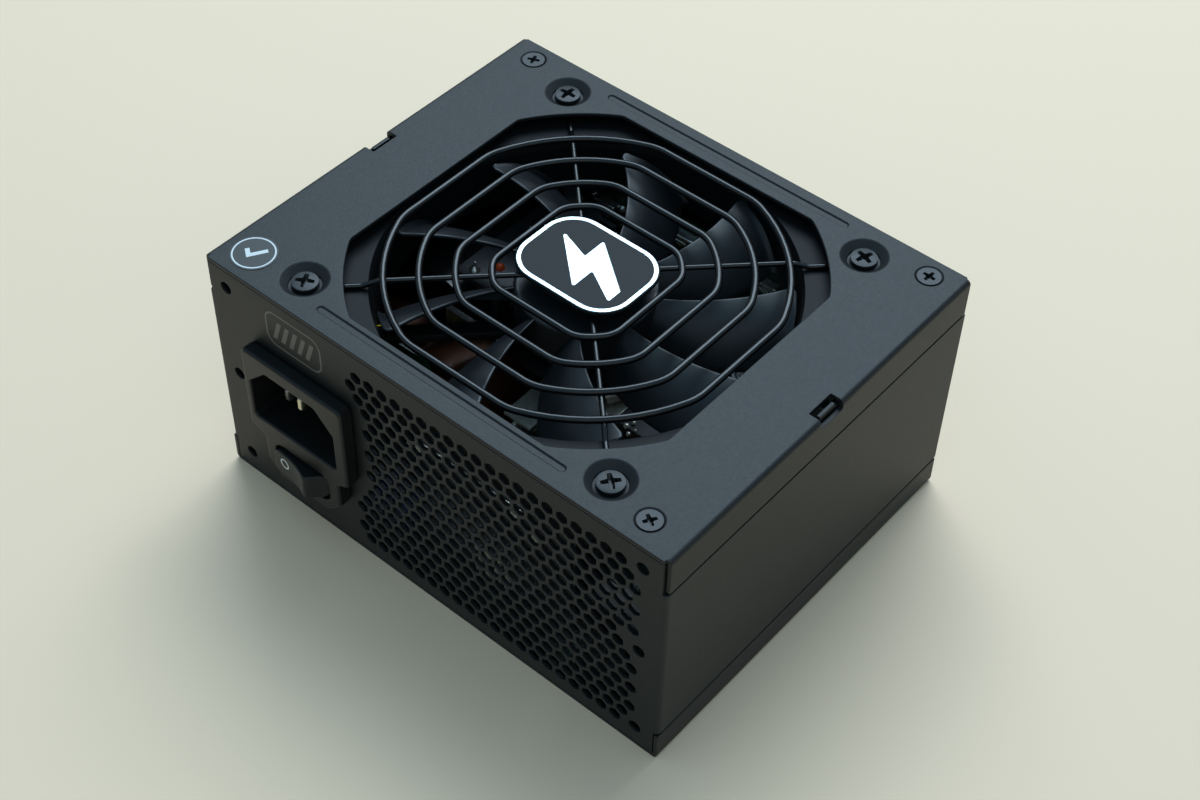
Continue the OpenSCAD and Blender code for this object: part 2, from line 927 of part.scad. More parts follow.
module terminal_tail(x) {
  block([x - 1.6, cavity_back - 0.01, rocker_z - 1.5], [x + 1.6, inlet_back, rocker_z + 1.5]);
  block([x - 0.4, inlet_back - 0.01, rocker_z - 1.5], [x + 0.4, filter_y + 3, rocker_z + 1.5]);
}

load_x = rocker_x - 5.6;

module inlet_housing() {
  color(black)
    difference() {
      union() {
        along_y(plate_y, -hd)
          plate_outline();
        along_y(-hd - 0.01, inlet_back)
          translate([socket_x - 13.3, socket_z - 9.8])
            square([26.6, 19.6]);
        along_y(-hd - 0.01, inlet_back)
          translate([rocker_x - 9.35, rocker_z - 6.1])
            square([18.7, 12]);
      }
      along_y(plate_y - 1, recess_back)
        translate([socket_x, socket_z])
          recess_outline();
      along_y(plate_y - 1, cavity_back)
        translate([rocker_x, rocker_z])
          round_square(cavity_w, cavity_h, 2.4);
      translate([rocker_x, rocker_y, rocker_z - 4.9])
        cylinder(h = 9.8, r = 1.06, $fn = 32);
      translate([rocker_x, lever_y, rocker_z - 4.7])
        cylinder(h = 9.4, r = lever_pin_r + 0.06, $fn = 32);
      along_y(recess_back - 1, inlet_back + 1)
        prong_places(2, 4);
      along_y(cavity_back - 1, inlet_back + 1)
        terminal_places(3.2, 3);
    }
}

module earth_pin() {
  color(brass)
    prong(0, socket_z + 2, plate_y + 2.5);
}

module line_pins() {
  color(brass)
    for (x = [-7, 7])
      prong(x, socket_z - 2, plate_y + 5);
}

// Cross-section of the rocker about its own axis, seen along Z, with -Y outwards.
module rocker_section() {
  polygon([
    [-7.45, -2.6], [-6.4, -2.62], [-5, -2.68], [-3.6, -2.8], [-2.2, -2.98], [-0.8, -3.25], [0.6, -3.62],
    [1.9, -4.08], [2.9, -4.5], [3.4, -4.6], [3.75, -4.45], [4.4, -3.75], [5.4, -2.6], [6.5, -1.5],
    [7.55, -0.75], [7.1, 1.5], [2.2, 1.5], [2.2, 3.4], [-2.2, 3.4], [-2.2, 1.5], [-7.1, 1.5]
  ]);
}

module switch_rocker() {
  color(black)
    translate([rocker_x, rocker_y, rocker_z])
      difference() {
        union() {
          intersection() {
            translate([0, 0, -3.5])
              linear_extrude(7)
                rocker_section();
            along_y(-6, 6)
              round_square(15.8, 7, 2.4);
          }
          translate([0, 0, -4.8])
            cylinder(h = 9.6, r = 1, $fn = 32);
        }
        rotate([-90, 0, rocker_swing / 2])
          translate([0, 0, 1.4])
            cylinder(h = 6, r = 1.3, $fn = 32);
      }
}

module on_plunger_axis() {
  translate([rocker_x, rocker_y, rocker_z])
    rotate([-90, 0, rocker_swing / 2])
      children();
}

module switch_plunger() {
  color(brass)
    on_plunger_axis() {
      translate([0, 0, 1.5])
        cylinder(h = 4.2, r = 0.6, $fn = 32);
      translate([0, 0, 5.69])
        cylinder(h = 0.8, r = 1.25, $fn = 32);
      translate([0, 0, 6.48])
        cylinder(h = 0.8, r1 = 1.1, r2 = 0.5, $fn = 32);
    }
}

module plunger_spring() {
  color(steel)
    on_plunger_axis()
      for (k = [0 : 4])
        translate([0, 0, 1.9 + 0.78 * k])
          rotate_extrude($fn = 32)
            translate([0.95, 0])
              circle(0.22, $fn = 16);
}

module contact_lever() {
  tilt = -rocker_swing * 0.35;
  color(copper)
    translate([rocker_x, lever_y, rocker_z])
      rotate(tilt) {
        block([-6.6, -0.4, -2.2], [6.6, 0.4, 2.2]);
        cylinder(h = 9.2, r = lever_pin_r, center = true, $fn = 32);
        translate([-5.8, 0.39, 0])
          rotate([-90, 0, 0])
            cylinder(h = 0.3, r = 1, $fn = 32);
      }
}

module switch_terminals() {
  color(brass) {
    terminal_tail(rocker_x);
    terminal_tail(load_x);
  }
}

// ---------- main board and what stands on it ----------

module main_board() {
  color(board_green)
    difference() {
      block([-58.5, -47, board_z], [58.5, 38, board_top]);
      at_each(spacer_xy)
        cylinder(h = 10, r = 1.6);
    }
}

module board_spacers() {
  color(brass)
    at_each(spacer_xy, sheet)
      difference() {
        cylinder(h = board_z - sheet, r = 2.9, $fn = 6);
        translate([0, 0, -1])
          cylinder(h = 10, r = tap_r);
      }
}

module board_screws() {
  color(steel)
    at_each(spacer_xy, board_top)
      pan_screw(2.7, 1.8, screw_r, 5);
}

module filter_board() {
  color(board_green)
    difference() {
      block([-50, filter_y, 10], [-22, filter_y + board_t, 41.2]);
      along_y(filter_y - 1, filter_y + 3) {
        prong_places(1, 4.4);
        terminal_places(1, 3.4);
      }
    }
}

module filter_capacitor() {
  color(tape)
    block([-50, -23.8, board_top], [-37, -17.2, 21]);
}

module disc(x, y, z, r, t) {
  translate([x, y, z])
    rotate([0, 90, 0]) {
      cylinder(h = t, r = r, center = true);
      cylinder(h = t + 1.2, r = r * 0.7, center = true);
    }
  for (dy = [-2.5, 2.5])
    translate([x, y + dy, board_top])
      cylinder(h = z - board_top - r * 0.6, r = 0.4, $fn = 16);
}

module disc_capacitors() {
  color([0.08, 0.2, 0.6]) {
    disc(-18.5, -42.5, 14, 5, 3.6);
    disc(-12.5, -42.5, 13, 4.5, 3.4);
    disc(-23.2, -41, board_top + 4.5, 3.2, 2);
  }
}

module thermistor() {
  color([0.1, 0.16, 0.12])
    disc(-54, -22.5, 14.5, 5.5, 3.8);
}

module fuse() {
  color([0.8, 0.82, 0.82])
    translate([-46, -30.6, board_top + 2.7])
      rotate([0, 90, 0]) {
        cylinder(h = 20, r = 2.3);
        for (x = [-0.01, 14.4])
          translate([0, 0, x])
            cylinder(h = 5.6, r = 2.6);
      }
}

module relay() {
  color(black)
    block([-20.5, -37, board_top], [-11, -26, 22]);
}

choke_x = -47;
choke_y = -11.6;
choke_z = board_top + 11.4;

module line_choke() {
  color([0.16, 0.35, 0.25])
    translate([choke_x, choke_y, choke_z])
      rotate([90, 0, 0])
        ring_part(5.4, 9.2, 6);
}

module choke_windings() {
  color(copper)
    translate([choke_x, choke_y, choke_z])
      rotate([90, 0, 0])
        for (a = [20, 200])
          rotate(a)
            difference() {
              ring_part(3.9, 10.8, 8.6, 140);
              rotate(-5)
                ring_part(5.4, 9.2, 6, 150);
            }
}

module bridge_heatsink() {
  color(steel)
    block([-34, -8.4, board_top], [-9, -6.9, 36]);
}

module bridge_rectifier() {
  color(black) {
    block([-31, -6.9, 13], [-10, -3.5, 31]);
    for (i = [0 : 3])
      block([-28.6 + 5 * i, -5.6, board_top], [-27.6 + 5 * i, -4.8, 13.01]);
  }
}

boost_x = -20;
boost_y = -16.6;
boost_z = board_top + 15.9;

module boost_core() {
  color([0.75, 0.7, 0.25])
    translate([boost_x, boost_y, boost_z])
      rotate([90, 0, 0])
        ring_part(7.4, 13, 10);
}

module boost_winding() {
  color(copper)
    translate([boost_x, boost_y, boost_z])
      rotate([90, 0, 0])
        rotate(-62)
          difference() {
            ring_part(5.4, 15.2, 14.4, 304);
            rotate(-5)
              ring_part(7.4, 13, 10, 314);
          }
}

module bulk_capacitor() {
  color([0.12, 0.12, 0.14])
    translate([-43, 38, board_top + 15.3])
      rotate([90, 0, 0])
        can(14.8, 40.5);
}

module primary_heatsink() {
  color([0.14, 0.14, 0.15]) {
    block([-26, -2, board_top], [-24, 34, 41.4]);
    block([-37, -2, 39.8], [-24.01, 34, 41.4]);
    for (y = [2 : 6 : 32])
      block([-24.01, y, 34], [-19, y + 1.2, 41.4]);
  }
}

module power_transistors() {
  color(black) {
    for (y = [-1, 11, 23])
      block([-24, y, 12], [-19.6, y + 10, 31]);
    for (x = [-8, 4, 16])
      block([x, -39.5, 11], [x + 10, -35.2, 28]);
  }
}

module secondary_heatsink() {
  color([0.75, 0.76, 0.78]) {
    block([-9.5, -41.5, board_top], [33, -39.5, 38]);
    block([-9.5, -39.51, 36.6], [33, -34, 38]);
  }
}

core_x = 14;
core_y = -1;

module transformer_core() {
  color(ferrite)
    difference() {
      block([core_x - 17, core_y - 10, board_top + 1.5], [core_x + 17, core_y + 10, 38]);
      block([core_x - 12.6, core_y - 11, board_top + 6.5], [core_x + 12.6, core_y + 11, 33.5]);
    }
}

module transformer_winding() {
  color(tape)
    block([core_x - 12.4, core_y - 14, board_top + 6.7], [core_x + 12.4, core_y + 14, 33.3]);
}

module resonant_inductor() {
  color(tape) {
    block([-17.6, 15.5, board_top], [-4.6, 30, 12]);
    block([-16.6, 15, 11.99], [-5.6, 30.5, 28]);
  }
}

module standby_transformer() {
  color(black) {
    block([37, -46, board_top], [51, -32.5, 10]);
    block([38, -45.5, 9.99], [50, -33, 21]);
    block([36.5, -42.5, 10.01], [51.5, -36, 25]);
  }
}

module output_capacitors() {
  color([0.72, 0.73, 0.76]) {
    for (y = [-22 : 10.8 : 26])
      translate([51, y, board_top])
        can(4.8, 21);
    for (x = [13, 23.6])
      translate([x, 30.5, board_top])
        can(4.8, 17);
    for (x = [20, 30.6])
      translate([x, -25, board_top])
        can(4.8, 20);
  }
}

module converter_board() {
  color(board_green) {
    block([37, -14, board_top], [38.6, 28, 38]);
    for (y = [-11, 3, 17])
      block([38.59, y, 14], [43.6, y + 9, 24]);
  }
}

module bus_bars() {
  color([0.8, 0.78, 0.72])
    for (x = [-14, 32, 41])
      difference() {
        block([x, 32, board_top], [x + 6, socket_board_y, 14]);
        block([x - 1, 33, board_top + 1], [x + 7, socket_board_y - 1, 15]);
      }
}

module socket_board() {
  color(board_green)
    block([-57, socket_board_y, 4], [57, socket_board_y + board_t, 44.4]);
}

module modular_sockets() {
  front = hd - 6.6;
  color(black)
    for (s = sockets)
      difference() {
        block(
          [s[1], socket_board_y + board_t, s[2] - socket_h / 2],
          [s[1] + socket_w(s[0]), hd, s[2] + socket_h / 2]
        );
        for (i = [0 : s[0] - 1], k = [-1, 1])
          translate([s[1] + 0.6 + socket_pitch * (i + 0.5), front, s[2] + k * socket_pitch / 2])
            difference() {
              translate([-1.8, 0, -1.8])
                cube([3.6, 8, 3.6]);
              translate([-0.55, -1, -0.55])
                cube([1.1, 6, 1.1]);
            }
      }
}

// The wire runs from the inlet's earth pin to a ring terminal on the rear panel.
module earth_wire() {
  ring_x = -53.4;
  ring_z0 = 38.6;
  color([0.75, 0.75, 0.1])
    wire([
      [socket_x, -23.85, 37.1], [-35.4, -22.4, 38], [-34, -21.9, 40.2], [-33.4, -23.2, 42.3],
      [-33.6, -25.2, 43.1], [-34.3, -27.4, 43], [-36.8, -30, 42.1], [-42, -31.2, 41.4],
      [-48, -31.4, 40.8], [-52.2, -33.2, 39.8], [ring_x, -37.6, 38.8], [ring_x, -45.4, ring_z0]
    ], 0.9, [1, -1, -0.6]);
  color(steel) {
    along_y(-hd + sheet + base_gap, -hd + sheet + 0.85)
      translate([ring_x, ring_z0])
        circle(2.8);
    along_y(-hd + sheet + 0.8, -45.5)
      translate([ring_x, ring_z0])
        circle(1.2);
  }
}

top_cover();
wrap_shell();
bottom_tray();
insulation_sheet();
cover_screws();
base_screws();
seal_sticker();
fan_screws();
fan_grille();
badge_plate();
badge();
fan_frame();
fan_bearing();
fan_stator();
fan_coils();
fan_board();
fan_rotor();
rotor_yoke();
rotor_magnet();
fan_shaft();
fan_lead();
fan_plug();
fan_header();
inlet_housing();
earth_pin();
line_pins();
switch_rocker();
switch_plunger();
plunger_spring();
contact_lever();
switch_terminals();
main_board();
board_spacers();
board_screws();
filter_board();
filter_capacitor();
disc_capacitors();
line_choke();
choke_windings();
fuse();
thermistor();
relay();
bridge_rectifier();
bridge_heatsink();
boost_core();
boost_winding();
bulk_capacitor();
primary_heatsink();
power_transistors();
transformer_core();
transformer_winding();
resonant_inductor();
standby_transformer();
secondary_heatsink();
output_capacitors();
converter_board();
bus_bars();
socket_board();
modular_sockets();
earth_wire();
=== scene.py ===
"""Visual model of the compact modular power supply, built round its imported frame.

Shapes are made in millimetres, in the row frame, and scaled to metres when published.
"""

import json
import math

import bmesh
import bpy
from mathutils import Matrix, Vector
from mathutils.geometry import delaunay_2d_cdt


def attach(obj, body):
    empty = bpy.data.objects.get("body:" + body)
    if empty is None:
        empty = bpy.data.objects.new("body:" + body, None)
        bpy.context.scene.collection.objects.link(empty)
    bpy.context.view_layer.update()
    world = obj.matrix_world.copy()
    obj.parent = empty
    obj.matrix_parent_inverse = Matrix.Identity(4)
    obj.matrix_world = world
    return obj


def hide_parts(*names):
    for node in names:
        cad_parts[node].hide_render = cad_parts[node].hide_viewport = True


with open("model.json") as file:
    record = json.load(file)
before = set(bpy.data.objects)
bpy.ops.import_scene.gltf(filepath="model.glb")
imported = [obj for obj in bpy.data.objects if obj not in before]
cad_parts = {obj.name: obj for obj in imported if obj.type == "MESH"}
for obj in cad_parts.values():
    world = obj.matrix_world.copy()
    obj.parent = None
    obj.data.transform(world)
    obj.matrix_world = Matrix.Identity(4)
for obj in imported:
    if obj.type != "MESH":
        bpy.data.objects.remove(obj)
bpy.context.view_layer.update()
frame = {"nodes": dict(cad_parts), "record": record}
SLOT = {part["node"]: part["material_slot"] for part in frame["record"]["subparts"]}
BODY = {
    node: body for body, nodes in frame["record"]["behaviour"]["bodies"].items() for node in nodes
}
MM = 0.001
WELD = 0.002  # points closer than this are one
LOOKS = {}


# ---------- materials ----------


def linear(red, green, blue):
    """Linear colour of an sRGB colour given in 0 to 255."""
    shares = [v / 255 for v in (red, green, blue)]
    return [v / 12.92 if v < 0.0405 else ((v + 0.055) / 1.055) ** 2.4 for v in shares]


def add_node(tree, kind, **values):
    """A new shader node; a value's name is its input's, with _ for a space."""
    node = tree.nodes.new("ShaderNode" + kind)
    for name, value in values.items():
        node.inputs[name.replace("_", " ")].default_value = value
    return node


def color_mix(tree, a, b):
    mix = tree.nodes.new("ShaderNodeMix")
    mix.data_type = "RGBA"
    mix.inputs["A"].default_value = (*a, 1)
    mix.inputs["B"].default_value = (*b, 1)
    return mix


def look(
    name, rgb, rough, metal=0.0, spec=0.5, coat=0.0, vary=0.0, vary_scale=90.0,
    bump=0.0, bump_scale=1500.0, rough_vary=0.0, stretch=None,
):
    """Adds a procedural material. Scales count noise cells per metre; vary is a share of the colour."""
    material = bpy.data.materials.new(name)
    material.use_nodes = True
    tree = material.node_tree
    link = tree.links.new
    surface = tree.nodes["Principled BSDF"].inputs
    color = linear(*rgb)
    surface["Base Color"].default_value = (*color, 1)
    surface["Roughness"].default_value = rough
    surface["Metallic"].default_value = metal
    surface["Specular IOR Level"].default_value = spec
    surface["Coat Weight"].default_value = coat
    surface["Coat Roughness"].default_value = 0.15
    place = tree.nodes.new("ShaderNodeTexCoord").outputs["Object"]
    if stretch:
        scale = add_node(tree, "VectorMath")
        scale.operation = "MULTIPLY"
        scale.inputs[1].default_value = stretch
        link(place, scale.inputs[0])
        place = scale.outputs[0]

    def noise(size, detail):
        node = add_node(tree, "TexNoise", Scale=size, Detail=detail)
        link(place, node.inputs["Vector"])
        return node.outputs["Fac"]

    if vary:
        mix = color_mix(tree, [c * (1 - vary) for c in color], [min(1, c * (1 + vary)) for c in color])
        link(noise(vary_scale, 4), mix.inputs["Factor"])
        link(mix.outputs["Result"], surface["Base Color"])
    if rough_vary:
        span = add_node(tree, "MapRange", To_Min=rough - rough_vary, To_Max=rough + rough_vary)
        link(noise(vary_scale * 0.6, 3), span.inputs["Value"])
        link(span.outputs["Result"], surface["Roughness"])
    if bump:
        relief = add_node(tree, "Bump", Strength=bump, Distance=0.1 * MM)
        link(noise(bump_scale, 3), relief.inputs["Height"])
        link(relief.outputs["Normal"], surface["Normal"])
    LOOKS[name] = material
    return material


look(
    "case_paint", (24, 26, 27), 0.5, spec=0.36, vary=0.22, vary_scale=2400, bump=0.5, bump_scale=2600,
    rough_vary=0.05,
)
look("grille_wire", (11, 12, 13), 0.22, spec=0.45, bump=0.1, bump_scale=1200)
look("black_steel", (27, 30, 32), 0.42, metal=0.2, vary=0.2, vary_scale=500, bump=0.12)
look("sticker", (42, 44, 44), 0.45, spec=0.4)
look("bright_steel", (190, 190, 188), 0.28, metal=1, vary=0.08, rough_vary=0.08)
look("badge_face", (12, 20, 21), 0.5, spec=0.2)
look("fan_plastic", (25, 28, 31), 0.4, spec=0.45, bump=0.08, bump_scale=700)
look("black_plastic", (20, 20, 20), 0.44, spec=0.38, bump=0.12, bump_scale=1800)
look("white_plastic", (226, 222, 208), 0.45, vary=0.03)
look("brass", (206, 198, 172), 0.25, metal=1, vary=0.08, rough_vary=0.08)
look("copper", (84, 50, 34), 0.34, metal=0.6, vary=0.15, vary_scale=400, coat=0.3)
look("ferrite", (52, 53, 56), 0.62, vary=0.25, vary_scale=700, bump=0.3, bump_scale=1400)
look("board", (24, 58, 38), 0.38, vary=0.18, vary_scale=300, coat=0.25)
look("wire_black", (22, 22, 23), 0.4)
look("wire_yellow", (236, 200, 16), 0.4)
look("clear_film", (196, 186, 150), 0.35, spec=0.4, vary=0.06)
look("yellow_case", (222, 190, 58), 0.42, vary=0.05)
look("blue_lacquer", (10, 24, 84), 0.36, coat=0.5, vary=0.12, bump=0.3, bump_scale=250)
look("green_core", (30, 92, 62), 0.45, vary=0.1)
look("yellow_core", (150, 140, 56), 0.5, vary=0.08)
look("fuse_glass", (206, 206, 198), 0.3, metal=0.7)
look("aluminium", (206, 207, 208), 0.32, metal=1, vary=0.06, stretch=(12, 1, 1), rough_vary=0.08)
# Aluminium made dark as painted shade, for the heatsink deep in the case where little light reaches.
look("dark_aluminium", (70, 71, 73), 0.45, metal=0.7, vary=0.1)
look("black_sleeve", (26, 26, 29), 0.28, coat=0.4)
look("capacitor_can", (198, 200, 203), 0.3, metal=1, rough_vary=0.08)
look("yellow_tape", (120, 98, 34), 0.4, vary=0.08, vary_scale=300)
look("tinned_copper", (196, 194, 188), 0.3, metal=1, vary=0.08)
look("rear_print", (92, 92, 86), 0.5)
look("white_print", (214, 218, 218), 0.45)
look("solder", (214, 214, 208), 0.24, metal=0.85, vary=0.08)
# A light foil colour. On the heatsink's clips and on small beads the same light colour stands in for glints,
# as painted highlights.
look("strap_and_painted_glint", (206, 202, 188), 0.3, metal=0.45, vary=0.3, vary_scale=900, bump=0.8, bump_scale=1500)
look("duct_plastic", (17, 18, 20), 0.55, spec=0.18, bump=0.08, bump_scale=700)
look("orange_glue", (206, 74, 22), 0.4)
look("brown_label", (98, 96, 92), 0.6, vary=0.5, vary_scale=1400)


# ---------- building shapes ----------


def add_object(name, data):
    """A new object in the scene."""
    thing = bpy.data.objects.new(name, data)
    bpy.context.scene.collection.objects.link(thing)
    return thing


def angles(count):
    """Equal steps round a full turn."""
    return [2 * math.pi * k / count for k in range(count)]


def about(angle, axis="Z"):
    """A turn about an axis."""
    return Matrix.Rotation(angle, 4, axis)


class Shape:
    """A mesh being built."""

    def __init__(self):
        self.bm = bmesh.new()

    def face(self, verts):
        try:
            self.bm.faces.new(verts)
        except ValueError:
            pass  # the same face again, or one that has shrunk to a line

    def points(self, coords):
        return [self.bm.verts.new(c) for c in coords]

    def loft(self, rings, loop=False, ends=(False, False)):
        """Joins rings of equally many points, the last to the first too if loop is true."""
        rows = [self.points(ring) for ring in rings]
        pairs = list(zip(rows, rows[1:])) + ([(rows[-1], rows[0])] if loop else [])
        n = len(rows[0])
        for a, b in pairs:
            for k in range(n):
                self.face((a[k], a[(k + 1) % n], b[(k + 1) % n], b[k]))
        if ends[0]:
            self.face(rows[0][::-1])
        if ends[1]:
            self.face(rows[-1])

    def lathe(self, profile, at=(0, 0), sides=48, loop=False):
        """Turns (radius, height) points about the Z axis through at."""
        self.loft([ring(at, r, z, sides) for r, z in profile], loop=loop)

    def brick(self, low, high, edge=0.15, steps=2):
        """A box with rounded edges."""
        x, y = [(a + b) / 2 for a, b in zip(low[:2], high[:2])]
        w, d = [(b - a) / 2 for a, b in zip(low[:2], high[:2])]
        edge = min(edge, w * 0.9, d * 0.9, (high[2] - low[2]) * 0.45)
        rings = []
        for top in (False, True):
            for k in range(steps + 1):
                a = math.pi / 2 * (steps - k if top else k) / steps
                rise = edge * math.cos(a)
                z = high[2] - edge + rise if top else low[2] + edge - rise
                inset = edge * (1 - math.sin(a))
                rx, ry = w - inset, d - inset
                loop = rect(-rx, -ry, rx, ry, min(edge, rx * 0.98, ry * 0.98), steps)
                rings.append([(x + p.x, y + p.y, z) for p in loop])
        self.loft(rings, ends=(True, True))

    def tube(self, path, radius, sides=12, loop=False, up=(0, 0, 1)):
        """A round wire along path. up is any direction that it never runs along."""
        n = len(path)
        rings = []
        for i, p in enumerate(path):
            if loop:
                along = path[(i + 1) % n] - path[i - 1]
            else:
                along = path[min(i + 1, n - 1)] - path[max(i - 1, 0)]
            side = along.cross(Vector(up)).normalized()
            lift = side.cross(along).normalized()
            rings.append([p + radius * (side * math.cos(a) + lift * math.sin(a)) for a in angles(sides)])
        self.loft(rings, loop=loop, ends=(not loop, not loop))

    def slab(self, outer, holes, depth, edge, front=(), back=(), steps=3):
        """A plate from d = 0 to d = depth. holes has (loop, edge radius); front and back are left open."""
        loops = [(outer, edge, -1)] + [(loop, e, 1) for loop, e in holes]
        for loop, e, sign in loops:
            rings = []
            for far in (False, True):
                for k in range(steps + 1):
                    a = math.pi / 2 * ((steps - k) if far else k) / steps
                    d = e * (1 - math.cos(a))
                    shifted = grown(loop, sign * e * (1 - math.sin(a)))
                    rings.append(lifted(shifted, depth - d if far else d))
            self.loft(rings)
        for d, opened in ((0, front), (depth, back)):
            edges = [grown(loop, sign * e) for loop, e, sign in loops]
            self.cap(edges[0], edges[1:] + list(opened), d)

    def cap(self, outer, holes, d):
        """Triangles at height d over outer less its holes."""
        verts = self.points([(p.x, p.y, d) for loop in [outer, *holes] for p in loop])
        self.fill(verts, outer, holes)

    def fill(self, verts, outer, holes=()):
        """Triangles between verts, which stand for the points of outer and the holes."""
        for triple in triangles(outer, holes):
            self.face([verts[i] for i in triple])

    def cut(self, axis, values):
        """Splits the faces where they cross the given planes."""
        normal = Vector([float(i == axis) for i in range(3)])
        for value in values:
            geom = self.bm.verts[:] + self.bm.edges[:] + self.bm.faces[:]
            bmesh.ops.bisect_plane(self.bm, geom=geom, dist=1e-4, plane_co=normal * value, plane_no=normal)

    def map(self, place):
        for v in self.bm.verts:
            v.co = place(*v.co)

    def join(self, other, place=None):
        """Takes over another shape's faces, moved by a matrix."""
        verts = {v: self.bm.verts.new(place @ v.co if place else v.co) for v in other.bm.verts}
        for f in other.bm.faces:
            self.face([verts[v] for v in f.verts])
        other.bm.free()

    def publish(self, name, node, paint=None, smooth=38, weighted=True):
        """Makes the shape a visible piece for this CAD node. Faces shade as one up to smooth degrees."""
        bmesh.ops.remove_doubles(self.bm, verts=self.bm.verts, dist=WELD)
        loose = [v for v in self.bm.verts if not v.link_faces]
        bmesh.ops.delete(self.bm, geom=loose, context="VERTS")
        bmesh.ops.recalc_face_normals(self.bm, faces=self.bm.faces)
        self.bm.transform(Matrix.Scale(MM, 4))
        mesh = bpy.data.meshes.new(name)
        self.bm.to_mesh(mesh)
        self.bm.free()
        mesh.materials.append(LOOKS[paint or SLOT[node]])
        for polygon in mesh.polygons:
            polygon.use_smooth = True
        mesh.set_sharp_from_angle(angle=math.radians(smooth))
        piece = add_object(name, mesh)
        if weighted:
            piece.modifiers.new("normals", "WEIGHTED_NORMAL").keep_sharp = True
        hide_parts(node)
        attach(piece, BODY[node])


def ring(at, r, z, sides=48):
    return [Vector((at[0] + r * math.cos(a), at[1] + r * math.sin(a), z)) for a in angles(sides)]


def flat(points):
    return [Vector((p[0], p[1])) for p in points]


def lifted(loop, d):
    """The loop's points at height d."""
    return [(p.x, p.y, d) for p in loop]


def circle(at, r, sides=48):
    return flat(ring(at, r, 0, sides))


def rounded(points, radius, steps=3):
    """Outline with its corners rounded, all alike or each by its own radius."""
    points = flat(points)
    radii = radius if isinstance(radius, list) else [radius] * len(points)
    out = []
    for i, (p, r) in enumerate(zip(points, radii)):
        if not r:
            out.append(p)
            continue
        a = (points[i - 1] - p).normalized()
        b = (points[(i + 1) % len(points)] - p).normalized()
        half = a.angle(b) / 2
        centre = p + (a + b).normalized() * (r / math.sin(half))
        start = p + a * (r / math.tan(half)) - centre
        end = p + b * (r / math.tan(half)) - centre
        a0 = math.atan2(start.y, start.x)
        sweep = (math.atan2(end.y, end.x) - a0 + math.pi) % (2 * math.pi) - math.pi
        for k in range(steps + 1):
            t = a0 + sweep * k / steps
            out.append(centre + r * Vector((math.cos(t), math.sin(t))))
    return out


def rect(x0, y0, x1, y1, r=0.0, steps=3):
    return rounded([(x0, y0), (x1, y0), (x1, y1), (x0, y1)], r, steps)


def mirrored(right, radius):
    """A rounded outline from its right half, which runs upwards."""
    left = [(-x, y) for x, y in right[::-1]]
    return rounded([left[-1], *right, *left[:-1]], radius, 2)


def grown(loop, distance):
    """A counterclockwise loop, moved outwards by distance."""
    if not distance:
        return loop
    out = []
    for i, p in enumerate(loop):
        u = (p - loop[i - 1]).normalized()
        v = (loop[(i + 1) % len(loop)] - p).normalized()
        normal = Vector((u.y + v.y, -u.x - v.x))
        out.append(p + normal * (distance / max(0.3, 1 + u.dot(v))))
    return out


def inside(p, loop):
    odd = False
    for i, b in enumerate(loop):
        a = loop[i - 1]
        if (a.y > p.y) != (b.y > p.y) and p.x < (b.x - a.x) * (p.y - a.y) / (b.y - a.y) + a.x:
            odd = not odd
    return odd


def triangles(outer, holes):
    """Index triples into the joined loops, covering outer less its holes."""
    loops = [outer, *holes]
    points, edges, owner = [], [], []
    for number, loop in enumerate(loops):
        first = len(points)
        points += loop
        owner += [number] * len(loop)
        edges += [(first + k, first + (k + 1) % len(loop)) for k in range(len(loop))]
    found, _, faces, origin, _, _ = delaunay_2d_cdt(points, edges, [], 1, 1e-6)
    if not all(origin):
        raise ValueError(f"loops cross near {[tuple(v) for v, o in zip(found, origin) if not o][:3]}")
    out = []
    for face in faces:
        triple = [origin[i][0] for i in face]
        owners = {owner[i] for i in triple}
        if len(owners) == 1:
            number = owners.pop()
            centre = (points[triple[0]] + points[triple[1]] + points[triple[2]]) / 3
            if inside(centre, loops[number]) == (number > 0):
                continue
        out.append(triple)
    return out


def both(build):
    """The shape for x > 0 and its mirror image."""
    shape = Shape()
    shape.join(build())
    shape.join(build(), Matrix.Scale(-1, 4, (1, 0, 0)))
    return shape


# ---------- case ----------

HW, HD, HEIGHT = 62.5, 50.0, 63.5
SHEET = 1.0
SHEET_EDGE = 0.18
CORNER = 0.2
FOLD = 1.2  # outer radius of every fold
ARC = FOLD * math.pi / 2
FLAT_X = HW - FOLD
LIP_X = 61.3
BAND = (8.2, 53.6)  # the wrap's side walls show from here to there
FLANGE_Z, TRAY_Z = 54.1, 7.7  # where the cover's and the tray's flanges end
UNDER_TOP = HEIGHT - SHEET
FAN_PITCH = 41.25  # the fan's screws, from its axis
FAN_SPOTS = [(x * FAN_PITCH, y * FAN_PITCH) for x in (-1, 1) for y in (-1, 1)]
COVER_SCREWS = [(-55, 45), (55, 45), (53, -44), (-53, -44)]
BASE_SCREWS = [(-53, -44), (53, -44), (-53, 42), (53, 42)]
NUT = [(1.5, 59.4), (2.6, 59.4), (2.6, 61.6), (1.5, 61.6)]
# (radius, depth) down the seats of the cover's, the base's and the fan's screws
COVER_SEAT = [(3.2, 0), (3.1, 0.04), (3.0, 0.14), (1.8, 0.95), (1.8, 1.0)]
BASE_SEAT = [(2.95, 0), (2.87, 0.03), (2.8, 0.12), (1.8, 0.95), (1.8, 1.0)]
FAN_SEAT = [
    (5.5, 0), (5.3, 0.04), (5.0, 0.18), (4.1, 0.98), (3.8, 1.18), (3.6, 1.35),
    (3.6, 1.6), (3.5, 1.7), (2.5, 1.7), (2.4, 1.75), (2.4, 1.95), (2.5, 2.0),
]
FAN_SEAT_R = 6.1  # where it leaves the cover's inner face


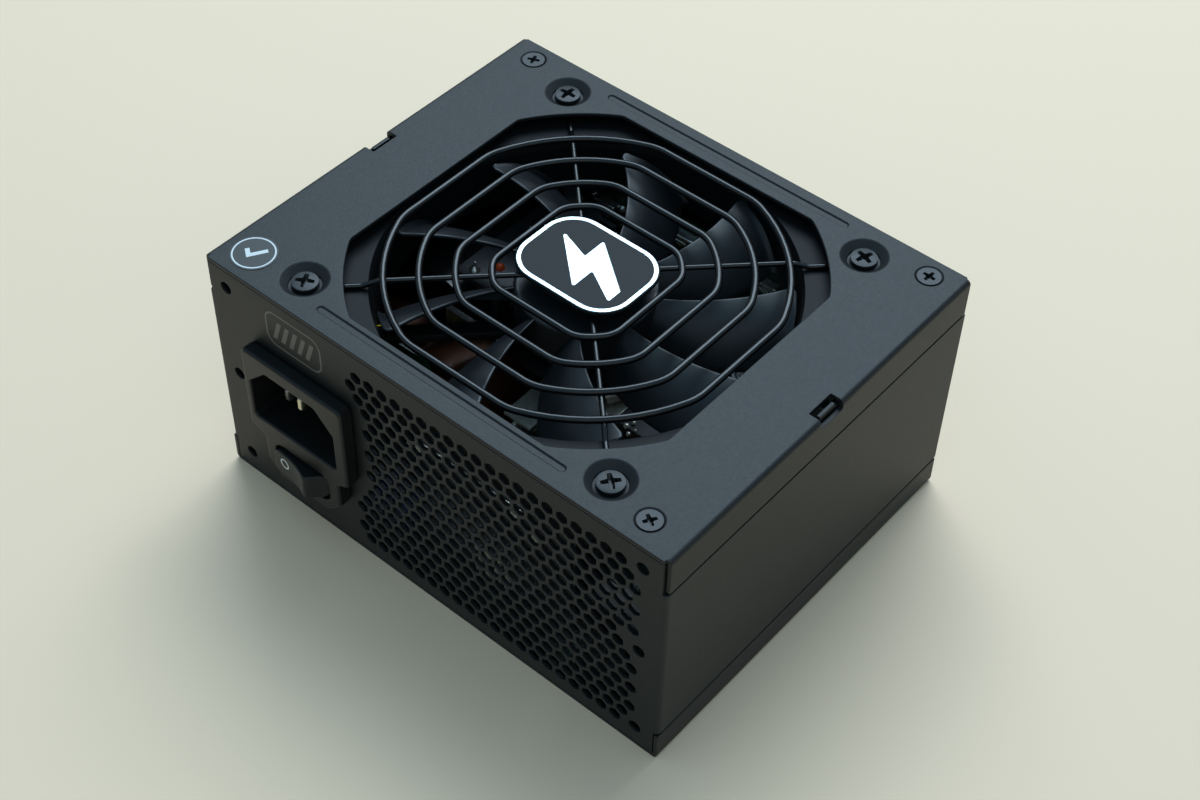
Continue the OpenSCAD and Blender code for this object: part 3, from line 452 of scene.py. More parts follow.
def folded(s, d):
    """(x, depth) of the point s along a sheet folded down at both sides, d under its outer face."""
    over = abs(s) - FLAT_X
    sign = math.copysign(1, s)
    if over <= 0:
        return s, d
    if over < ARC:
        turn = over / FOLD
        return sign * (FLAT_X + (FOLD - d) * math.sin(turn)), FOLD - (FOLD - d) * math.cos(turn)
    return sign * (HW - d), FOLD + over - ARC


FOLD_CUTS = [sign * (FLAT_X + ARC * k / 6) for sign in (-1, 1) for k in range(7)]


def stadium(y, half, r, steps=6):
    """Long loop in X with round ends."""
    out = []
    for x, start in ((half, -math.pi / 2), (-half, math.pi / 2)):
        for k in range(steps + 1):
            a = start + math.pi * k / steps
            out.append(Vector((x + r * math.cos(a), y + r * math.sin(a))))
    return out


def soft_steps(r0, r1, d0, d1, steps=8):
    """(radius, depth) points down an S-shaped wall."""
    out = []
    for k in range(steps + 1):
        t = k / steps
        out.append((r0 + (r1 - r0) * t, d0 + (d1 - d0) * (t * t * (3 - 2 * t))))
    return out


def opening_loop():
    """The fan opening: a circle cut off by a square."""
    radius, half, steps = 50.4, 43.0, 14
    start = math.acos(half / radius)
    span = math.pi / 2 - 2 * start
    corners = []
    for quarter in range(4):
        for k in range(steps + 1):
            a = quarter * math.pi / 2 + start + span * k / steps
            corners.append((radius * math.cos(a), radius * math.sin(a)))
    return rounded(corners, ([2.5] + [0] * (steps - 1) + [2.5]) * 4, 4)


def build_cover():
    shape = Shape()
    reach = FLAT_X + ARC + HEIGHT - FOLD - FLANGE_Z
    y0, y1 = -HD + 0.7, HD - 0.4
    right = [(FLAT_X, -HD), (FLAT_X, y0), (reach, y0), (reach, y1), (FLAT_X, y1), (FLAT_X, HD)]
    outer = mirrored(right, [CORNER, CORNER, 0.15] * 4)
    notch_in, notch_out = 59.3, FLAT_X + ARC + 1
    notches = [rect(notch_in, -3, notch_out, 4.2, CORNER), rect(-notch_out, -3, -notch_in, 4.2, CORNER)]
    holes = [(opening_loop(), 0.28)] + [(loop, 0.12) for loop in notches]
    rib_half, rib_r = 32.5, 1.0
    ribs = (-45.2, 46.4)
    front = [circle(p, FAN_SEAT[0][0]) for p in FAN_SPOTS]
    front += [circle(p, COVER_SEAT[0][0], 40) for p in COVER_SCREWS]
    front += [stadium(y, rib_half, rib_r) for y in ribs]
    back = [circle(p, FAN_SEAT_R) for p in FAN_SPOTS]
    back += [circle(p, COVER_SEAT[-1][0], 40) for p in COVER_SCREWS]
    shape.slab(outer, holes, SHEET, SHEET_EDGE, front, back)
    for p in FAN_SPOTS:
        shape.lathe(FAN_SEAT + soft_steps(4.9, FAN_SEAT_R, 2.0, SHEET), p)
    for p in COVER_SCREWS:
        shape.lathe(COVER_SEAT, p, 40)
    for y in ribs:
        steps = soft_steps(rib_r, 0.55, 0, 0.35, 5)
        shape.loft([lifted(stadium(y, rib_half, r), d) for r, d in steps], ends=(False, True))
    shape.cut(0, FOLD_CUTS)

    def place(s, y, d):
        x, down = folded(s, d)
        return Vector((x, y, HEIGHT - down))

    shape.map(place)
    shape.publish("cover", "top_cover")


FIX_HOLES = [(x, z) for x in (-56.5, 56.5) for z in (6, 31.75, 57.5)]
VENT_PITCH, VENT_ACROSS = 3.67, 2.75


def vent_holes():
    """Centres of the vent's holes, in X and Z."""
    out = []
    for row in range(17):
        z = 56.4 - row * VENT_PITCH * math.sin(math.radians(60))
        for col in range(-11, 12):
            x = 18.21 - (row % 2) * VENT_PITCH / 2 + col * VENT_PITCH
            limit = -17 if 20 < z < 48.4 else -20.6  # further in beside the mains inlet
            clear = min(math.dist((x, z), hole) for hole in FIX_HOLES)
            if limit < x < 56.6 and clear > 4.3:
                out.append((x, z))
    return out


def build_wrap():
    shape = Shape()
    reach = FLAT_X + ARC + 2 * HD - FOLD
    low, high = BAND
    foot, head = 1.05, 62.4
    right = [(FLAT_X, foot), (FLAT_X, low), (reach, low), (reach, high), (FLAT_X, high), (FLAT_X, head)]
    outer = mirrored(right, CORNER)
    corner_r = VENT_ACROSS / 2 / math.cos(math.radians(30))
    sixths = [math.radians(30 + 60 * k) for k in range(6)]
    holes = []
    for x, z in vent_holes():
        corners = [(x + corner_r * math.cos(a), z + corner_r * math.sin(a)) for a in sixths]
        holes.append((rounded(corners, 0.42, 2), 0.13))
    holes += [(circle(p, 1.5, 28), 0.15) for p in FIX_HOLES]
    holes += [(rect(-49.4, 25.2, -22.6, 45, 0.5), 0.1), (rect(-44.2, 12.2, -25.4, 24.0, 0.5), 0.1)]
    shape.slab(outer, holes, SHEET, SHEET_EDGE, steps=2)
    shape.cut(0, FOLD_CUTS)

    def place(s, z, d):
        x, inwards = folded(s, d)
        return Vector((x, -HD + inwards, z))

    shape.map(place)

    def inner():
        """The lips behind the flanges, with their joggles, the hook in the notch and the screws' ears."""
        part = Shape()
        in_y = -HD + 0.9
        for z0, z1 in ((52.4, 61.8), (foot, 9.4)):
            part.brick((LIP_X - SHEET, in_y, z0), (LIP_X, HD, z1), 0.12)
        for z0, z1 in ((52.4, 53.5), (8.3, 9.4)):
            part.brick((LIP_X - 0.9, in_y, z0), (HW - SHEET + 0.2, HD, z1), 0.12)
        part.brick((LIP_X - SHEET, -2, 59.8), (LIP_X, 3.2, 62.9), 0.3)
        for z in (61.4, foot):
            ear = Shape()
            ear.slab(rect(48, -49.5, 58, -39, 0.6), [(circle((53, -44), 1.5, 24), 0.05)], SHEET, 0.1)
            ear.map(lambda x, y, d: Vector((x, y, d + z)))
            part.join(ear)
        part.lathe(NUT, (53, -44), 32, loop=True)
        return part

    shape.join(both(inner))
    shape.publish("wrap", "wrap_shell")


SOCKET_PITCH, SOCKET_RIM, SOCKET_GAP = 4.2, 0.6, 3.6
SOCKET_H = 2 * SOCKET_PITCH + 2 * SOCKET_RIM
SOCKET_ROWS = (([9, 4, 4, 4], 36), ([5, 4, 4, 3, 3], 20))  # columns of each socket, height of the row


def sockets():
    """(left edge, width, height of the middle, places of its pins) of each modular socket."""
    out = []
    for cols, z in SOCKET_ROWS:
        widths = [c * SOCKET_PITCH + 2 * SOCKET_RIM for c in cols]
        x = -(sum(widths) + SOCKET_GAP * (len(cols) - 1)) / 2
        for c, w in zip(cols, widths):
            spots = [
                (x + SOCKET_RIM + SOCKET_PITCH * (i + 0.5), z + k * SOCKET_PITCH / 2)
                for i in range(c)
                for k in (-1, 1)
            ]
            out.append((x, w, z, spots))
            x += w + SOCKET_GAP
    return out


def build_tray():
    shape = Shape()
    side = FLAT_X + ARC + TRAY_Z - FOLD
    wall_x = LIP_X - SHEET - 0.15
    bend_y = HD - FOLD
    wall_y = bend_y + ARC + 62.4 - FOLD
    slit_y = bend_y - 0.4
    right = [(side, -HD), (side, HD), (FLAT_X, HD), (FLAT_X, slit_y), (wall_x, slit_y), (wall_x, wall_y)]
    outer = mirrored(right, CORNER)

    def up_wall(z):
        return bend_y + ARC + z - FOLD

    holes = []
    gap = 0.1
    for x, w, z, _ in sockets():
        y0, y1 = up_wall(z - SOCKET_H / 2 - gap), up_wall(z + SOCKET_H / 2 + gap)
        holes.append((rect(x - gap, y0, x + w + gap, y1, 0.3), 0.12))
    front, back = [[circle(p, BASE_SEAT[end][0], 40) for p in BASE_SCREWS] for end in (0, -1)]
    shape.slab(outer, holes, SHEET, SHEET_EDGE, front, back)
    for p in BASE_SCREWS:
        shape.lathe(BASE_SEAT, p, 40)
    shape.cut(0, FOLD_CUTS)
    shape.cut(1, [bend_y + ARC * k / 6 for k in range(7)])

    def place(s, y, d):
        if abs(s) < FLAT_X and y > bend_y:
            over = y - bend_y
            if over < ARC:
                turn = over / FOLD
                return Vector((s, bend_y + (FOLD - d) * math.sin(turn), FOLD - (FOLD - d) * math.cos(turn)))
            return Vector((s, HD - d, FOLD + over - ARC))
        x, up = folded(s, d)
        return Vector((x, y, up))

    shape.map(place)

    def tab():
        part = Shape()
        part.brick((50, 40, 61.4), (LIP_X - SHEET - 0.4, HD - 0.5, 62.4), 0.1)
        part.lathe(NUT, (55, 45), 32, loop=True)
        return part

    shape.join(both(tab))
    shape.publish("tray", "bottom_tray")


# ---------- screws ----------


def cross_loop(arm, width, flare=0.0):
    """Outline of a cross recess."""
    h = width / 2
    out = []
    for k in range(4):
        a = math.pi / 2 * k
        for x, y in ((arm, -h), (arm, h), (h + flare, h + flare)):
            out.append((x * math.cos(a) - y * math.sin(a), x * math.sin(a) + y * math.cos(a)))
    return flat(out)


def screw_shape(length, head_r, dome, rim, shank_r, arm, width, recess, under):
    """A screw, its head's rim at z = 0. dome is the head's rise; arm, width and recess size its cross."""
    shape = Shape()

    def height(r):
        return dome * (1 - (r / head_r) ** 2)

    radii = [head_r * t for t in (0.98, 0.94, 0.87, 0.8)]
    profile = [(shank_r, -length), (shank_r, -under), (head_r - rim, -under)]
    profile += [(head_r, -max(0.15, under * 0.5)), (head_r, -0.12), (head_r * 0.985, -0.06)]
    shape.lathe(profile + [(r, height(r)) for r in radii], sides=40)
    shape.lathe([(0, -length - 0.3), (shank_r * 0.6, -length - 0.25), (shank_r, -length)], sides=40)
    inner = circle((0, 0), radii[-1], 40)
    cross = cross_loop(arm, width, width * 0.18)
    deep = cross_loop(arm * 0.55, width * 0.5, width * 0.05)
    shape.fill(shape.points([(p.x, p.y, height(p.length)) for p in inner + cross]), inner, [cross])
    rings = [
        [(p.x, p.y, height(p.length)) for p in cross],
        [(p.x * 0.97, p.y * 0.97, height(p.length) - 0.08) for p in cross],
        [(p.x, p.y, height(0) - recess) for p in deep],
    ]
    shape.loft(rings)
    shape.cap(deep, [], height(0) - recess)
    return shape


SMALL_SCREW = dict(head_r=2.64, dome=0, rim=1.0, shank_r=1.45, arm=1.5, width=0.7, recess=0.95, under=0.9)
FAN_SCREW = dict(head_r=2.93, dome=0.3, rim=0.05, shank_r=2.1, arm=2.05, width=0.9, recess=1.3, under=1.1)


def build_screws():
    small_jobs = (
        ("cover_screws", COVER_SCREWS, HEIGHT - 0.04, 0, 4.6),
        ("base_screws", BASE_SCREWS, 0.04, math.pi, 3.6),
    )
    for node, places, z, flip, length in small_jobs:
        shape = Shape()
        for i, (x, y) in enumerate(places):
            place = Matrix.Translation((x, y, z)) @ about(flip, "X") @ about(0.4 + 1.1 * i)
            shape.join(screw_shape(length, **SMALL_SCREW), place)
        shape.publish(node, node)
    shape = Shape()
    for i, (x, y) in enumerate([(-1, -1), (1, -1), (1, 1), (-1, 1)]):
        place = Matrix.Translation((x * FAN_PITCH, y * FAN_PITCH, UNDER_TOP + 0.4)) @ about(0.55 + 0.35 * i)
        shape.join(screw_shape(11.1, **FAN_SCREW), place)
    shape.publish("fan_screw_set", "fan_screws")


# ---------- grille and badge ----------

RING_Z, RING_WIRE = 62.75, 0.8
SPOKE_Z, SPOKE_WIRE = 62.1, 0.6
EYELET_Z, EYELET_R = 60.8, 3.2
RINGS = [(16.6, 19.8, 6), (24.4, 27.4, 8), (32.4, 35.0, 10), (40.2, 42.4, 12)]
WELDS = [(180, 3), (180, -7), (270, 9), (90, 12)]  # which side each ring's wire closes on, and where


def ring_path(half, round_r, bend_r, z):
    """A circle of radius round_r cut off by a square, the corners between the two bent."""
    in_x = half - bend_r
    in_y = math.sqrt((round_r - bend_r) ** 2 - in_x**2)
    turn = math.atan2(in_y, in_x)
    eighth = []
    bend_steps, round_steps = 8, 5
    for j in range(bend_steps + 1):
        a = turn * j / bend_steps
        eighth.append((in_x + bend_r * math.cos(a), in_y + bend_r * math.sin(a)))
    for j in range(1, round_steps + 1):
        a = turn + (math.pi / 4 - turn) * j / round_steps
        eighth.append((round_r * math.cos(a), round_r * math.sin(a)))
    quarter = eighth + [(y, x) for x, y in eighth[-2::-1]]
    path = []
    for k in range(4):
        c, s = round(math.cos(k * math.pi / 2)), round(math.sin(k * math.pi / 2))
        path += [Vector((x * c - y * s, x * s + y * c, z)) for x, y in quarter]
    return path


def build_grille():
    shape = Shape()
    for half, round_r, bend_r in RINGS:
        shape.tube(ring_path(half, round_r, bend_r, RING_Z), RING_WIRE, 16, loop=True)
    path = [(9, SPOKE_Z), (25, SPOKE_Z), (42.9, SPOKE_Z), (43.5, SPOKE_Z - 0.1), (44.1, SPOKE_Z - 0.32)]
    path += [(45.9, EYELET_Z + 0.32), (46.5, EYELET_Z + 0.1), (47.2, EYELET_Z), (55.3, EYELET_Z)]
    eyelet = ring((FAN_PITCH * math.sqrt(2), 0), EYELET_R, EYELET_Z, 32)
    for k in range(4):
        arm = Shape()
        arm.tube([Vector((x, 0, z)) for x, z in path], SPOKE_WIRE, 14, up=(0, 1, 0))
        arm.tube(eyelet, 0.7, 12, loop=True)
        # the spokes are welded under the rings
        for _, round_r, _ in RINGS:
            arm.brick((round_r - 0.62, -0.75, SPOKE_Z + 0.1), (round_r + 0.62, 0.75, RING_Z - 0.35), 0.3, 3)
        shape.join(arm, about(math.pi / 4 + k * math.pi / 2))
    # the butt welds where each ring's wire closes
    bead = list(zip((-0.45, -0.3, -0.15, 0, 0.15, 0.3, 0.45), (0.8, 0.83, 0.79, 0.76, 0.79, 0.83, 0.8)))
    for (half, _, _), (side, along) in zip(RINGS, WELDS):
        joint = Shape()
        rings = []
        for s, r in bead:
            rings.append([(half + r * math.cos(t), along + s, RING_Z + r * math.sin(t)) for t in angles(16)])
        joint.loft(rings, ends=(True, True))
        shape.join(joint, about(math.radians(side)))
    shape.publish("grille", "fan_grille")


def badge_outline(inset):
    half_w, half_d = 14.6 - inset, 11.3 - inset
    return rect(-half_w, -half_d, half_w, half_d, 8 - inset, 10)


def raised(shape, outline, holes, z0, z1):
    """A flat print from z0 to z1."""
    for loop in [outline, *holes]:
        shape.loft([lifted(loop, z0), lifted(loop, z1)])
    shape.cap(outline, holes, z0)
    shape.cap(outline, holes, z1)


def foil_look():
    """Silvery white foil that shifts in tint from place to place."""
    material = look("badge_foil", (214, 224, 224), 0.3, metal=0.45, spec=0.6)
    tree = material.node_tree
    shader = tree.nodes["Principled BSDF"]
    place = tree.nodes.new("ShaderNodeTexCoord").outputs["Object"]
    wave = add_node(tree, "TexNoise", Scale=60, Detail=1)
    tree.links.new(place, wave.inputs["Vector"])
    ramp = tree.nodes.new("ShaderNodeValToRGB")
    stops = ramp.color_ramp.elements
    stops[0].position, stops[1].position = 0.3, 0.7
    stops[0].color = (*linear(205, 226, 212), 1)
    stops[1].color = (*linear(222, 238, 222), 1)
    for at, color in ((0.42, (232, 236, 224)), (0.5, (206, 224, 236)), (0.6, (238, 232, 240))):
        stops.new(at).color = (*linear(*color), 1)
    tree.links.new(wave.outputs["Fac"], ramp.inputs["Fac"])
    tree.links.new(ramp.outputs["Color"], shader.inputs["Base Color"])


def build_badge():
    """A plain bolt in a border."""
    foil_look()
    plate = Shape()
    plate.lathe([(0, 62.7), (10.7, 62.7), (11, 62.85), (11, HEIGHT), (0, HEIGHT)], sides=64)
    plate.publish("badge_backing", "badge_plate", "black_steel")
    body = Shape()
    body.slab(badge_outline(0), [], 1.06, 0.35, steps=4)
    body.map(lambda x, y, d: Vector((x, y, HEIGHT + d)))
    body.publish("badge_body", "badge")
    prints = Shape()
    low, high = HEIGHT + 1.0, HEIGHT + 1.1
    raised(prints, badge_outline(0.4), [badge_outline(1.3)], low, high)
    bolt = [(2.0, 10.6), (-7.4, -1.8), (-1.3, -1.8), (-4.3, -10.6), (7.4, 2.3), (1.1, 2.3), (5.9, 10.6)]
    turn = Matrix.Rotation(math.radians(-90), 2)
    raised(prints, rounded([turn @ Vector(p) for p in bolt], 0.35, 3), [], low, high)
    prints.publish("badge_prints", "badge", "badge_foil", weighted=False)


def build_rear_mark():
    """A faint plain print on the rear panel, above the mains inlet."""
    mark = Shape()
    low, high = -0.02, 0.03
    border = [rect(-8.2 + k, -4.9 + k, 8.2 - k, 4.9 - k, 3 - k, 8) for k in (0, 0.45)]
    raised(mark, border[0], [border[1]], low, high)
    for x in (-4.8, -2.4, 0, 2.4, 4.8):
        raised(mark, flat([(x - 1.5, -2.6), (x - 0.3, -2.6), (x + 1.5, 2.6), (x + 0.3, 2.6)]), [], low, high)
    mark.map(lambda x, y, d: Vector((-36.6 + x, -HD - d, 54.8 + y)))
    mark.publish("rear_mark", "wrap_shell", "rear_print", weighted=False)


def build_sticker():
    """A round seal with a plain tick in a ring."""
    body = Shape()
    at = (-54.75, -42.8)
    low, high = HEIGHT + 0.08, HEIGHT + 0.115
    body.lathe([(0, HEIGHT), (5.15, HEIGHT), (5.15, low), (5.1, HEIGHT + 0.1), (0, HEIGHT + 0.1)], at, 64)
    body.publish("sticker_body", "seal_sticker")
    prints = Shape()
    raised(prints, circle(at, 4.75, 64), [circle(at, 4.4, 64)], low, high)
    tick = [(-2.4, 0.1), (-1.7, 0.8), (-0.6, -0.4), (1.9, 2.3), (2.6, 1.6), (-0.6, -1.9)]
    turn = Matrix.Rotation(math.radians(12), 2)
    raised(prints, [turn @ Vector(p) + Vector(at) for p in tick][::-1], [], low, high)
    prints.publish("sticker_prints", "seal_sticker", "white_print", weighted=False)


# ---------- fan ----------

FAN_Z, FAN_TOP = 45.1, 60.1
ROTOR_TOP = 59.0
BLADES = 9
BLADE_LOW, BLADE_HIGH = 48.3, 58.2
HUB_R, TIP_R = 15.5, 44.0
ROOT_R = HUB_R - 0.6
ROOT_LEAD, LEAD_SWEEP = 25.5, 15.5  # degrees the upper edge leads by, at the hub and more at the tip
ROOT_CHORD, CHORD_TAPER = 25, 5  # degrees it covers at the hub, and how many fewer at the tip
TIP_SWEEP, TIP_PART = 2.5, 0.05  # degrees the tip falls back, over this share of the length
CAMBER = 0.2
BLADE_THICK = 1.1


def build_fan_frame():
    shape = Shape()
    holes = [(circle(p, 2.15, 32), 0.2) for p in FAN_SPOTS]
    half, deep = 46, FAN_TOP - FAN_Z
    profile = [(45.6, 0), (45.45, 0.12), (44.95, 1.9), (44.9, 2.1), (44.9, deep - 0.2), (45.0, deep)]
    front, back = [[circle((0, 0), profile[end][0], 120)] for end in (0, -1)]
    shape.slab(rect(-half, -half, half, half, 4, 6), holes, deep, 0.4, front, back)
    shape.lathe(profile, sides=120)
    shape.map(lambda x, y, d: Vector((x, y, FAN_TOP - d)))
    cup = [(0, FAN_Z), (17.2, FAN_Z), (17.5, 45.4), (17.5, 46.6), (17.2, 46.9), (4.2, 46.9)]
    cup += [(4.2, 55.2), (3.9, 55.5), (3.1, 55.5), (3.1, 47.3), (0, 47.3)]
    shape.lathe(cup, sides=64)
    for k in range(4):
        arm = Shape()
        arm.brick((16, -2, FAN_Z), (45.4, 2, 47.3), 0.5, 3)
        shape.join(arm, about(math.pi / 4 + k * math.pi / 2))
    shape.publish("fan_duct", "fan_frame", "duct_plastic")


def blade_point(u, t, up):
    """A point of the first blade, u from hub to tip and t from its upper edge to its lower one."""
    r = ROOT_R + (TIP_R - ROOT_R) * u
    lead = ROOT_LEAD + LEAD_SWEEP * u - TIP_SWEEP * (max(0, u - 1 + TIP_PART) / TIP_PART) ** 2
    a = math.radians(lead - (ROOT_CHORD - CHORD_TAPER * u) * t)
    z = BLADE_HIGH - (BLADE_HIGH - BLADE_LOW) * (t - CAMBER * math.sin(math.pi * t))
    ends = min(t / 0.05, (1 - t) / 0.04, (1 - u) / 0.02, 1)
    half = BLADE_THICK / 2 * (1 - 0.5 * t) * math.sqrt(max(0, 1 - (1 - ends) ** 2))
    return Vector((r * math.cos(a), r * math.sin(a), z + up * half))


def build_rotor():
    shape = Shape()
    wall = [(0, ROTOR_TOP - 0.15), (9.5, ROTOR_TOP - 0.15), (9.8, ROTOR_TOP), (HUB_R - 1.0, ROTOR_TOP)]
    wall += [(HUB_R - 1 + math.sin(a), ROTOR_TOP - 1 + math.cos(a)) for a in angles(20)[1:6]]
    wall += [(HUB_R, 48.8), (HUB_R - 0.2, 48.6), (14.3, 48.6), (14.3, 57.8), (3.2, 57.8), (3.2, 55.9)]
    wall += [(1.5, 55.9), (1.5, 57.7), (0, 57.7)]
    shape.lathe(wall, sides=96)
    us = [k / 16 for k in range(16)] + [0.975, 0.987, 1.0]
    ts = [0, 0.006, 0.018, 0.035, 0.05] + [0.05 + 0.91 * k / 20 for k in range(1, 21)] + [0.975, 0.988, 1.0]
    for a in angles(BLADES):
        turn = about(a)
        rings = []
        for u in us:
            over = [turn @ blade_point(u, t, 1) for t in ts]
            under = [turn @ blade_point(u, t, -1) for t in ts[-2:0:-1]]
            rings.append(over + under)
        shape.loft(rings, ends=(True, True))
    shape.publish("impeller", "fan_rotor", smooth=50)


# ---------- mains inlet and switch ----------

PLATE_X, PLATE_Y = -35.4, -53.6
PLATE_DEEP, BOX_DEEP = 3.6, 19.6  # from the plate's face to the panel and to the back of the box
RECESS_DEEP, CAVITY_DEEP = 16, 12.2
SLEEVE = 0.42
SOCKET_X, SOCKET_Z = -36.0, 35.1
ROCKER_X, ROCKER_Y, ROCKER_Z = -34.8, -52.0, 18.3


def facing_rear(x, z, d):
    """A point of an outline in X and Z, d behind the face of the inlet's plate."""
    return Vector((x, PLATE_Y + d, z))


def build_inlet():
    shape = Shape()
    top, mid = SOCKET_Z + 11.8, SOCKET_Z - 11.2
    half = 11.3
    low = ROCKER_Z - 6.9
    x0, x1, bevel = ROCKER_X - half, ROCKER_X + half, 4
    left = [(PLATE_X - 15, top), (PLATE_X - 15, mid), (x0, mid - 1.7), (x0, low + bevel), (x0 + bevel, low)]
    right = [(x1 - bevel, low), (x1, low + bevel), (x1, mid - 1.7), (PLATE_X + 15, mid), (PLATE_X + 15, top)]
    radii = [1.6, 1.0, 0.8, 1.4, 1.4]
    outline = rounded(left + right, radii + radii[::-1], 4)
    x0, x1, z1, bevel = SOCKET_X - 12.4, SOCKET_X + 12.4, SOCKET_Z + 7.8, 5
    foot = [(x0, SOCKET_Z - 7.8), (x1, SOCKET_Z - 7.8)]
    head = [(x1, z1 - bevel), (x1 - bevel, z1), (x0 + bevel, z1), (x0, z1 - bevel)]
    recess = rounded(foot + head, 0.9, 4)
    cavity = rect(ROCKER_X - 8.2, ROCKER_Z - 4, ROCKER_X + 8.2, ROCKER_Z + 4, 2.4, 6)
    wells = ((recess, 0.55, RECESS_DEEP), (cavity, 0.35, CAVITY_DEEP))
    mouths = [grown(loop, e) for loop, e, _ in wells]
    sleeves = [grown(loop, SLEEVE) for loop, _, _ in wells]
    shape.slab(outline, [], PLATE_DEEP, 0.7, mouths, sleeves, steps=4)
    bevel = 0.3
    for (loop, e, deep), sleeve in zip(wells, sleeves):
        rings = []
        for k in range(5):
            a = math.pi / 2 * k / 4
            rings.append(lifted(grown(loop, e * (1 - math.sin(a))), e * (1 - math.cos(a))))
        shape.loft(rings + [lifted(loop, deep - bevel), lifted(grown(loop, -bevel), deep)])
        shape.cap(grown(loop, -bevel), [], deep)
        shape.loft([lifted(sleeve, d) for d in (PLATE_DEEP, deep + bevel)])
        shape.cap(sleeve, [], deep + bevel)
    shape.map(facing_rear)
    shape.publish("inlet_shell", "inlet_housing")
    # the moulded box round the socket and the switch, behind the panel
    back = Shape()
    for corners, (hole, _, deep) in zip(((-49.3, 25.3, -22.7, 44.9), (-44.15, 12.2, -25.45, 24.2)), wells):
        loop = rect(*corners, 0.8)
        wall = grown(hole, 0.5)
        back.loft([lifted(loop, d) for d in (PLATE_DEEP, BOX_DEEP)])
        back.loft([lifted(wall, d) for d in (PLATE_DEEP, deep + 0.4)])
        back.cap(loop, [wall], PLATE_DEEP)
        back.cap(wall, [], deep + 0.4)
        back.cap(loop, [], BOX_DEEP)
    back.map(facing_rear)
    back.publish("inlet_box", "inlet_housing")


def build_pins():
    """Blades 2 by 4 mm with blunted tips, and the tags behind them."""
    jobs = (
        ("earth_blade", "earth_pin", 2.5, [(0, 2)]),
        ("line_blades", "line_pins", 5, [(-7, -2), (7, -2)]),
    )
    for name, node, start, spots in jobs:
        shape = Shape()
        for right, up in spots:
            x, z = SOCKET_X + right, SOCKET_Z + up
            rings = []
            for inset, d in ((0.55, 0), (0.42, 0.18), (0.12, 0.9), (0, 1.6), (0, BOX_DEEP - start)):
                w, h = 1 - inset, 2 - inset
                loop = rect(x - w, z - h, x + w, z + h, 0.25)
                rings.append([(p.x, PLATE_Y + start + d, p.y) for p in loop])
            shape.loft(rings, ends=(True, True))
            shape.brick((x - 0.4, PLATE_Y + BOX_DEEP - 0.1, z - 2), (x + 0.4, -24, z + 2), 0.1)
        shape.publish(name, node)


# (X, Y) along the rocker's face, from its axis
CREST = [
    (-7.9, -2.58), (-7.45, -2.6), (-6.4, -2.62), (-5, -2.68), (-3.6, -2.8), (-2.2, -2.98),
    (-0.8, -3.25), (0.6, -3.62), (1.9, -4.08), (2.7, -4.42), (3.15, -4.53), (3.5, -4.5),
    (3.85, -4.32), (4.4, -3.75), (5.4, -2.6), (6.5, -1.5), (7.55, -0.75), (7.9, -0.6),
]


def crest(x):
    """Y of the rocker's face at x, from its axis."""
    for (x0, y0), (x1, y1) in zip(CREST, CREST[1:]):
        if x <= x1:
            return y0 + (y1 - y0) * (x - x0) / (x1 - x0)
    return CREST[-1][1]


def build_rocker():
    shape = Shape()
    half_w, half_h, foot, edge, pin = 7.85, 3.45, 1.4, 0.45, 4.8
    outline = []
    corners = rect(-half_w, -half_h, half_w, half_h, 2.3, 6)
    for i, p in enumerate(corners):
        a = corners[i - 1]
        n = max(1, round((p - a).length / 0.45))
        outline += [a.lerp(p, (k + 1) / n) for k in range(n)]
    rings = [[(p.x, foot, p.y) for p in grown(outline, -0.5)]]
    for k in range(6):
        a = math.pi / 2 * k / 5
        loop = grown(outline, -edge * (1 - math.cos(a)))
        rings.append([(p.x, crest(p.x) + edge * (1 - math.sin(a)), p.y) for p in loop])
    loops = [grown(outline, -0.9), grown(outline, -1.5)]
    for inset in (2.1, 2.7):
        wide, high = 1 - (inset - 1.5) / half_w, (half_h - inset) / (half_h - 1.5)
        loops.append([Vector((p.x * wide, p.y * high)) for p in loops[1]])
    rings += [[(p.x, crest(p.x), p.y) for p in loop] for loop in loops]
    shape.loft(rings)
    for rim in (rings[-1], rings[0]):
        shape.fill(shape.points(rim), flat([(x, z) for x, _, z in rim]))
    shape.lathe([(0, -pin), (0.9, -pin), (1, 0.1 - pin), (1, pin - 0.1), (0.9, pin), (0, pin)], sides=28)
    shape.lathe([(0, -2.2), (2.2, -2.2), (2.2, 2.2), (0, 2.2)], (0, 1.6), sides=28)
    shape.map(lambda x, y, z: Vector((ROCKER_X + x, ROCKER_Y + y, ROCKER_Z + z)))
    shape.publish("rocker", "switch_rocker", smooth=60)
    marks = Shape()
    rings = []
    for r, lift in ((1.4, -0.03), (1.02, -0.03), (1.02, 0.05), (1.4, 0.05)):
        spots = [(-4.3 + r * math.cos(t), 0.6 + r * math.sin(t)) for t in angles(40)]
        rings.append([(ROCKER_X + x, ROCKER_Y + crest(x) + lift, ROCKER_Z + z) for x, z in spots])
    marks.loft(rings, loop=True)
    marks.publish("rocker_marks", "switch_rocker", "white_print", weighted=False)


# ---------- sockets at the output end ----------


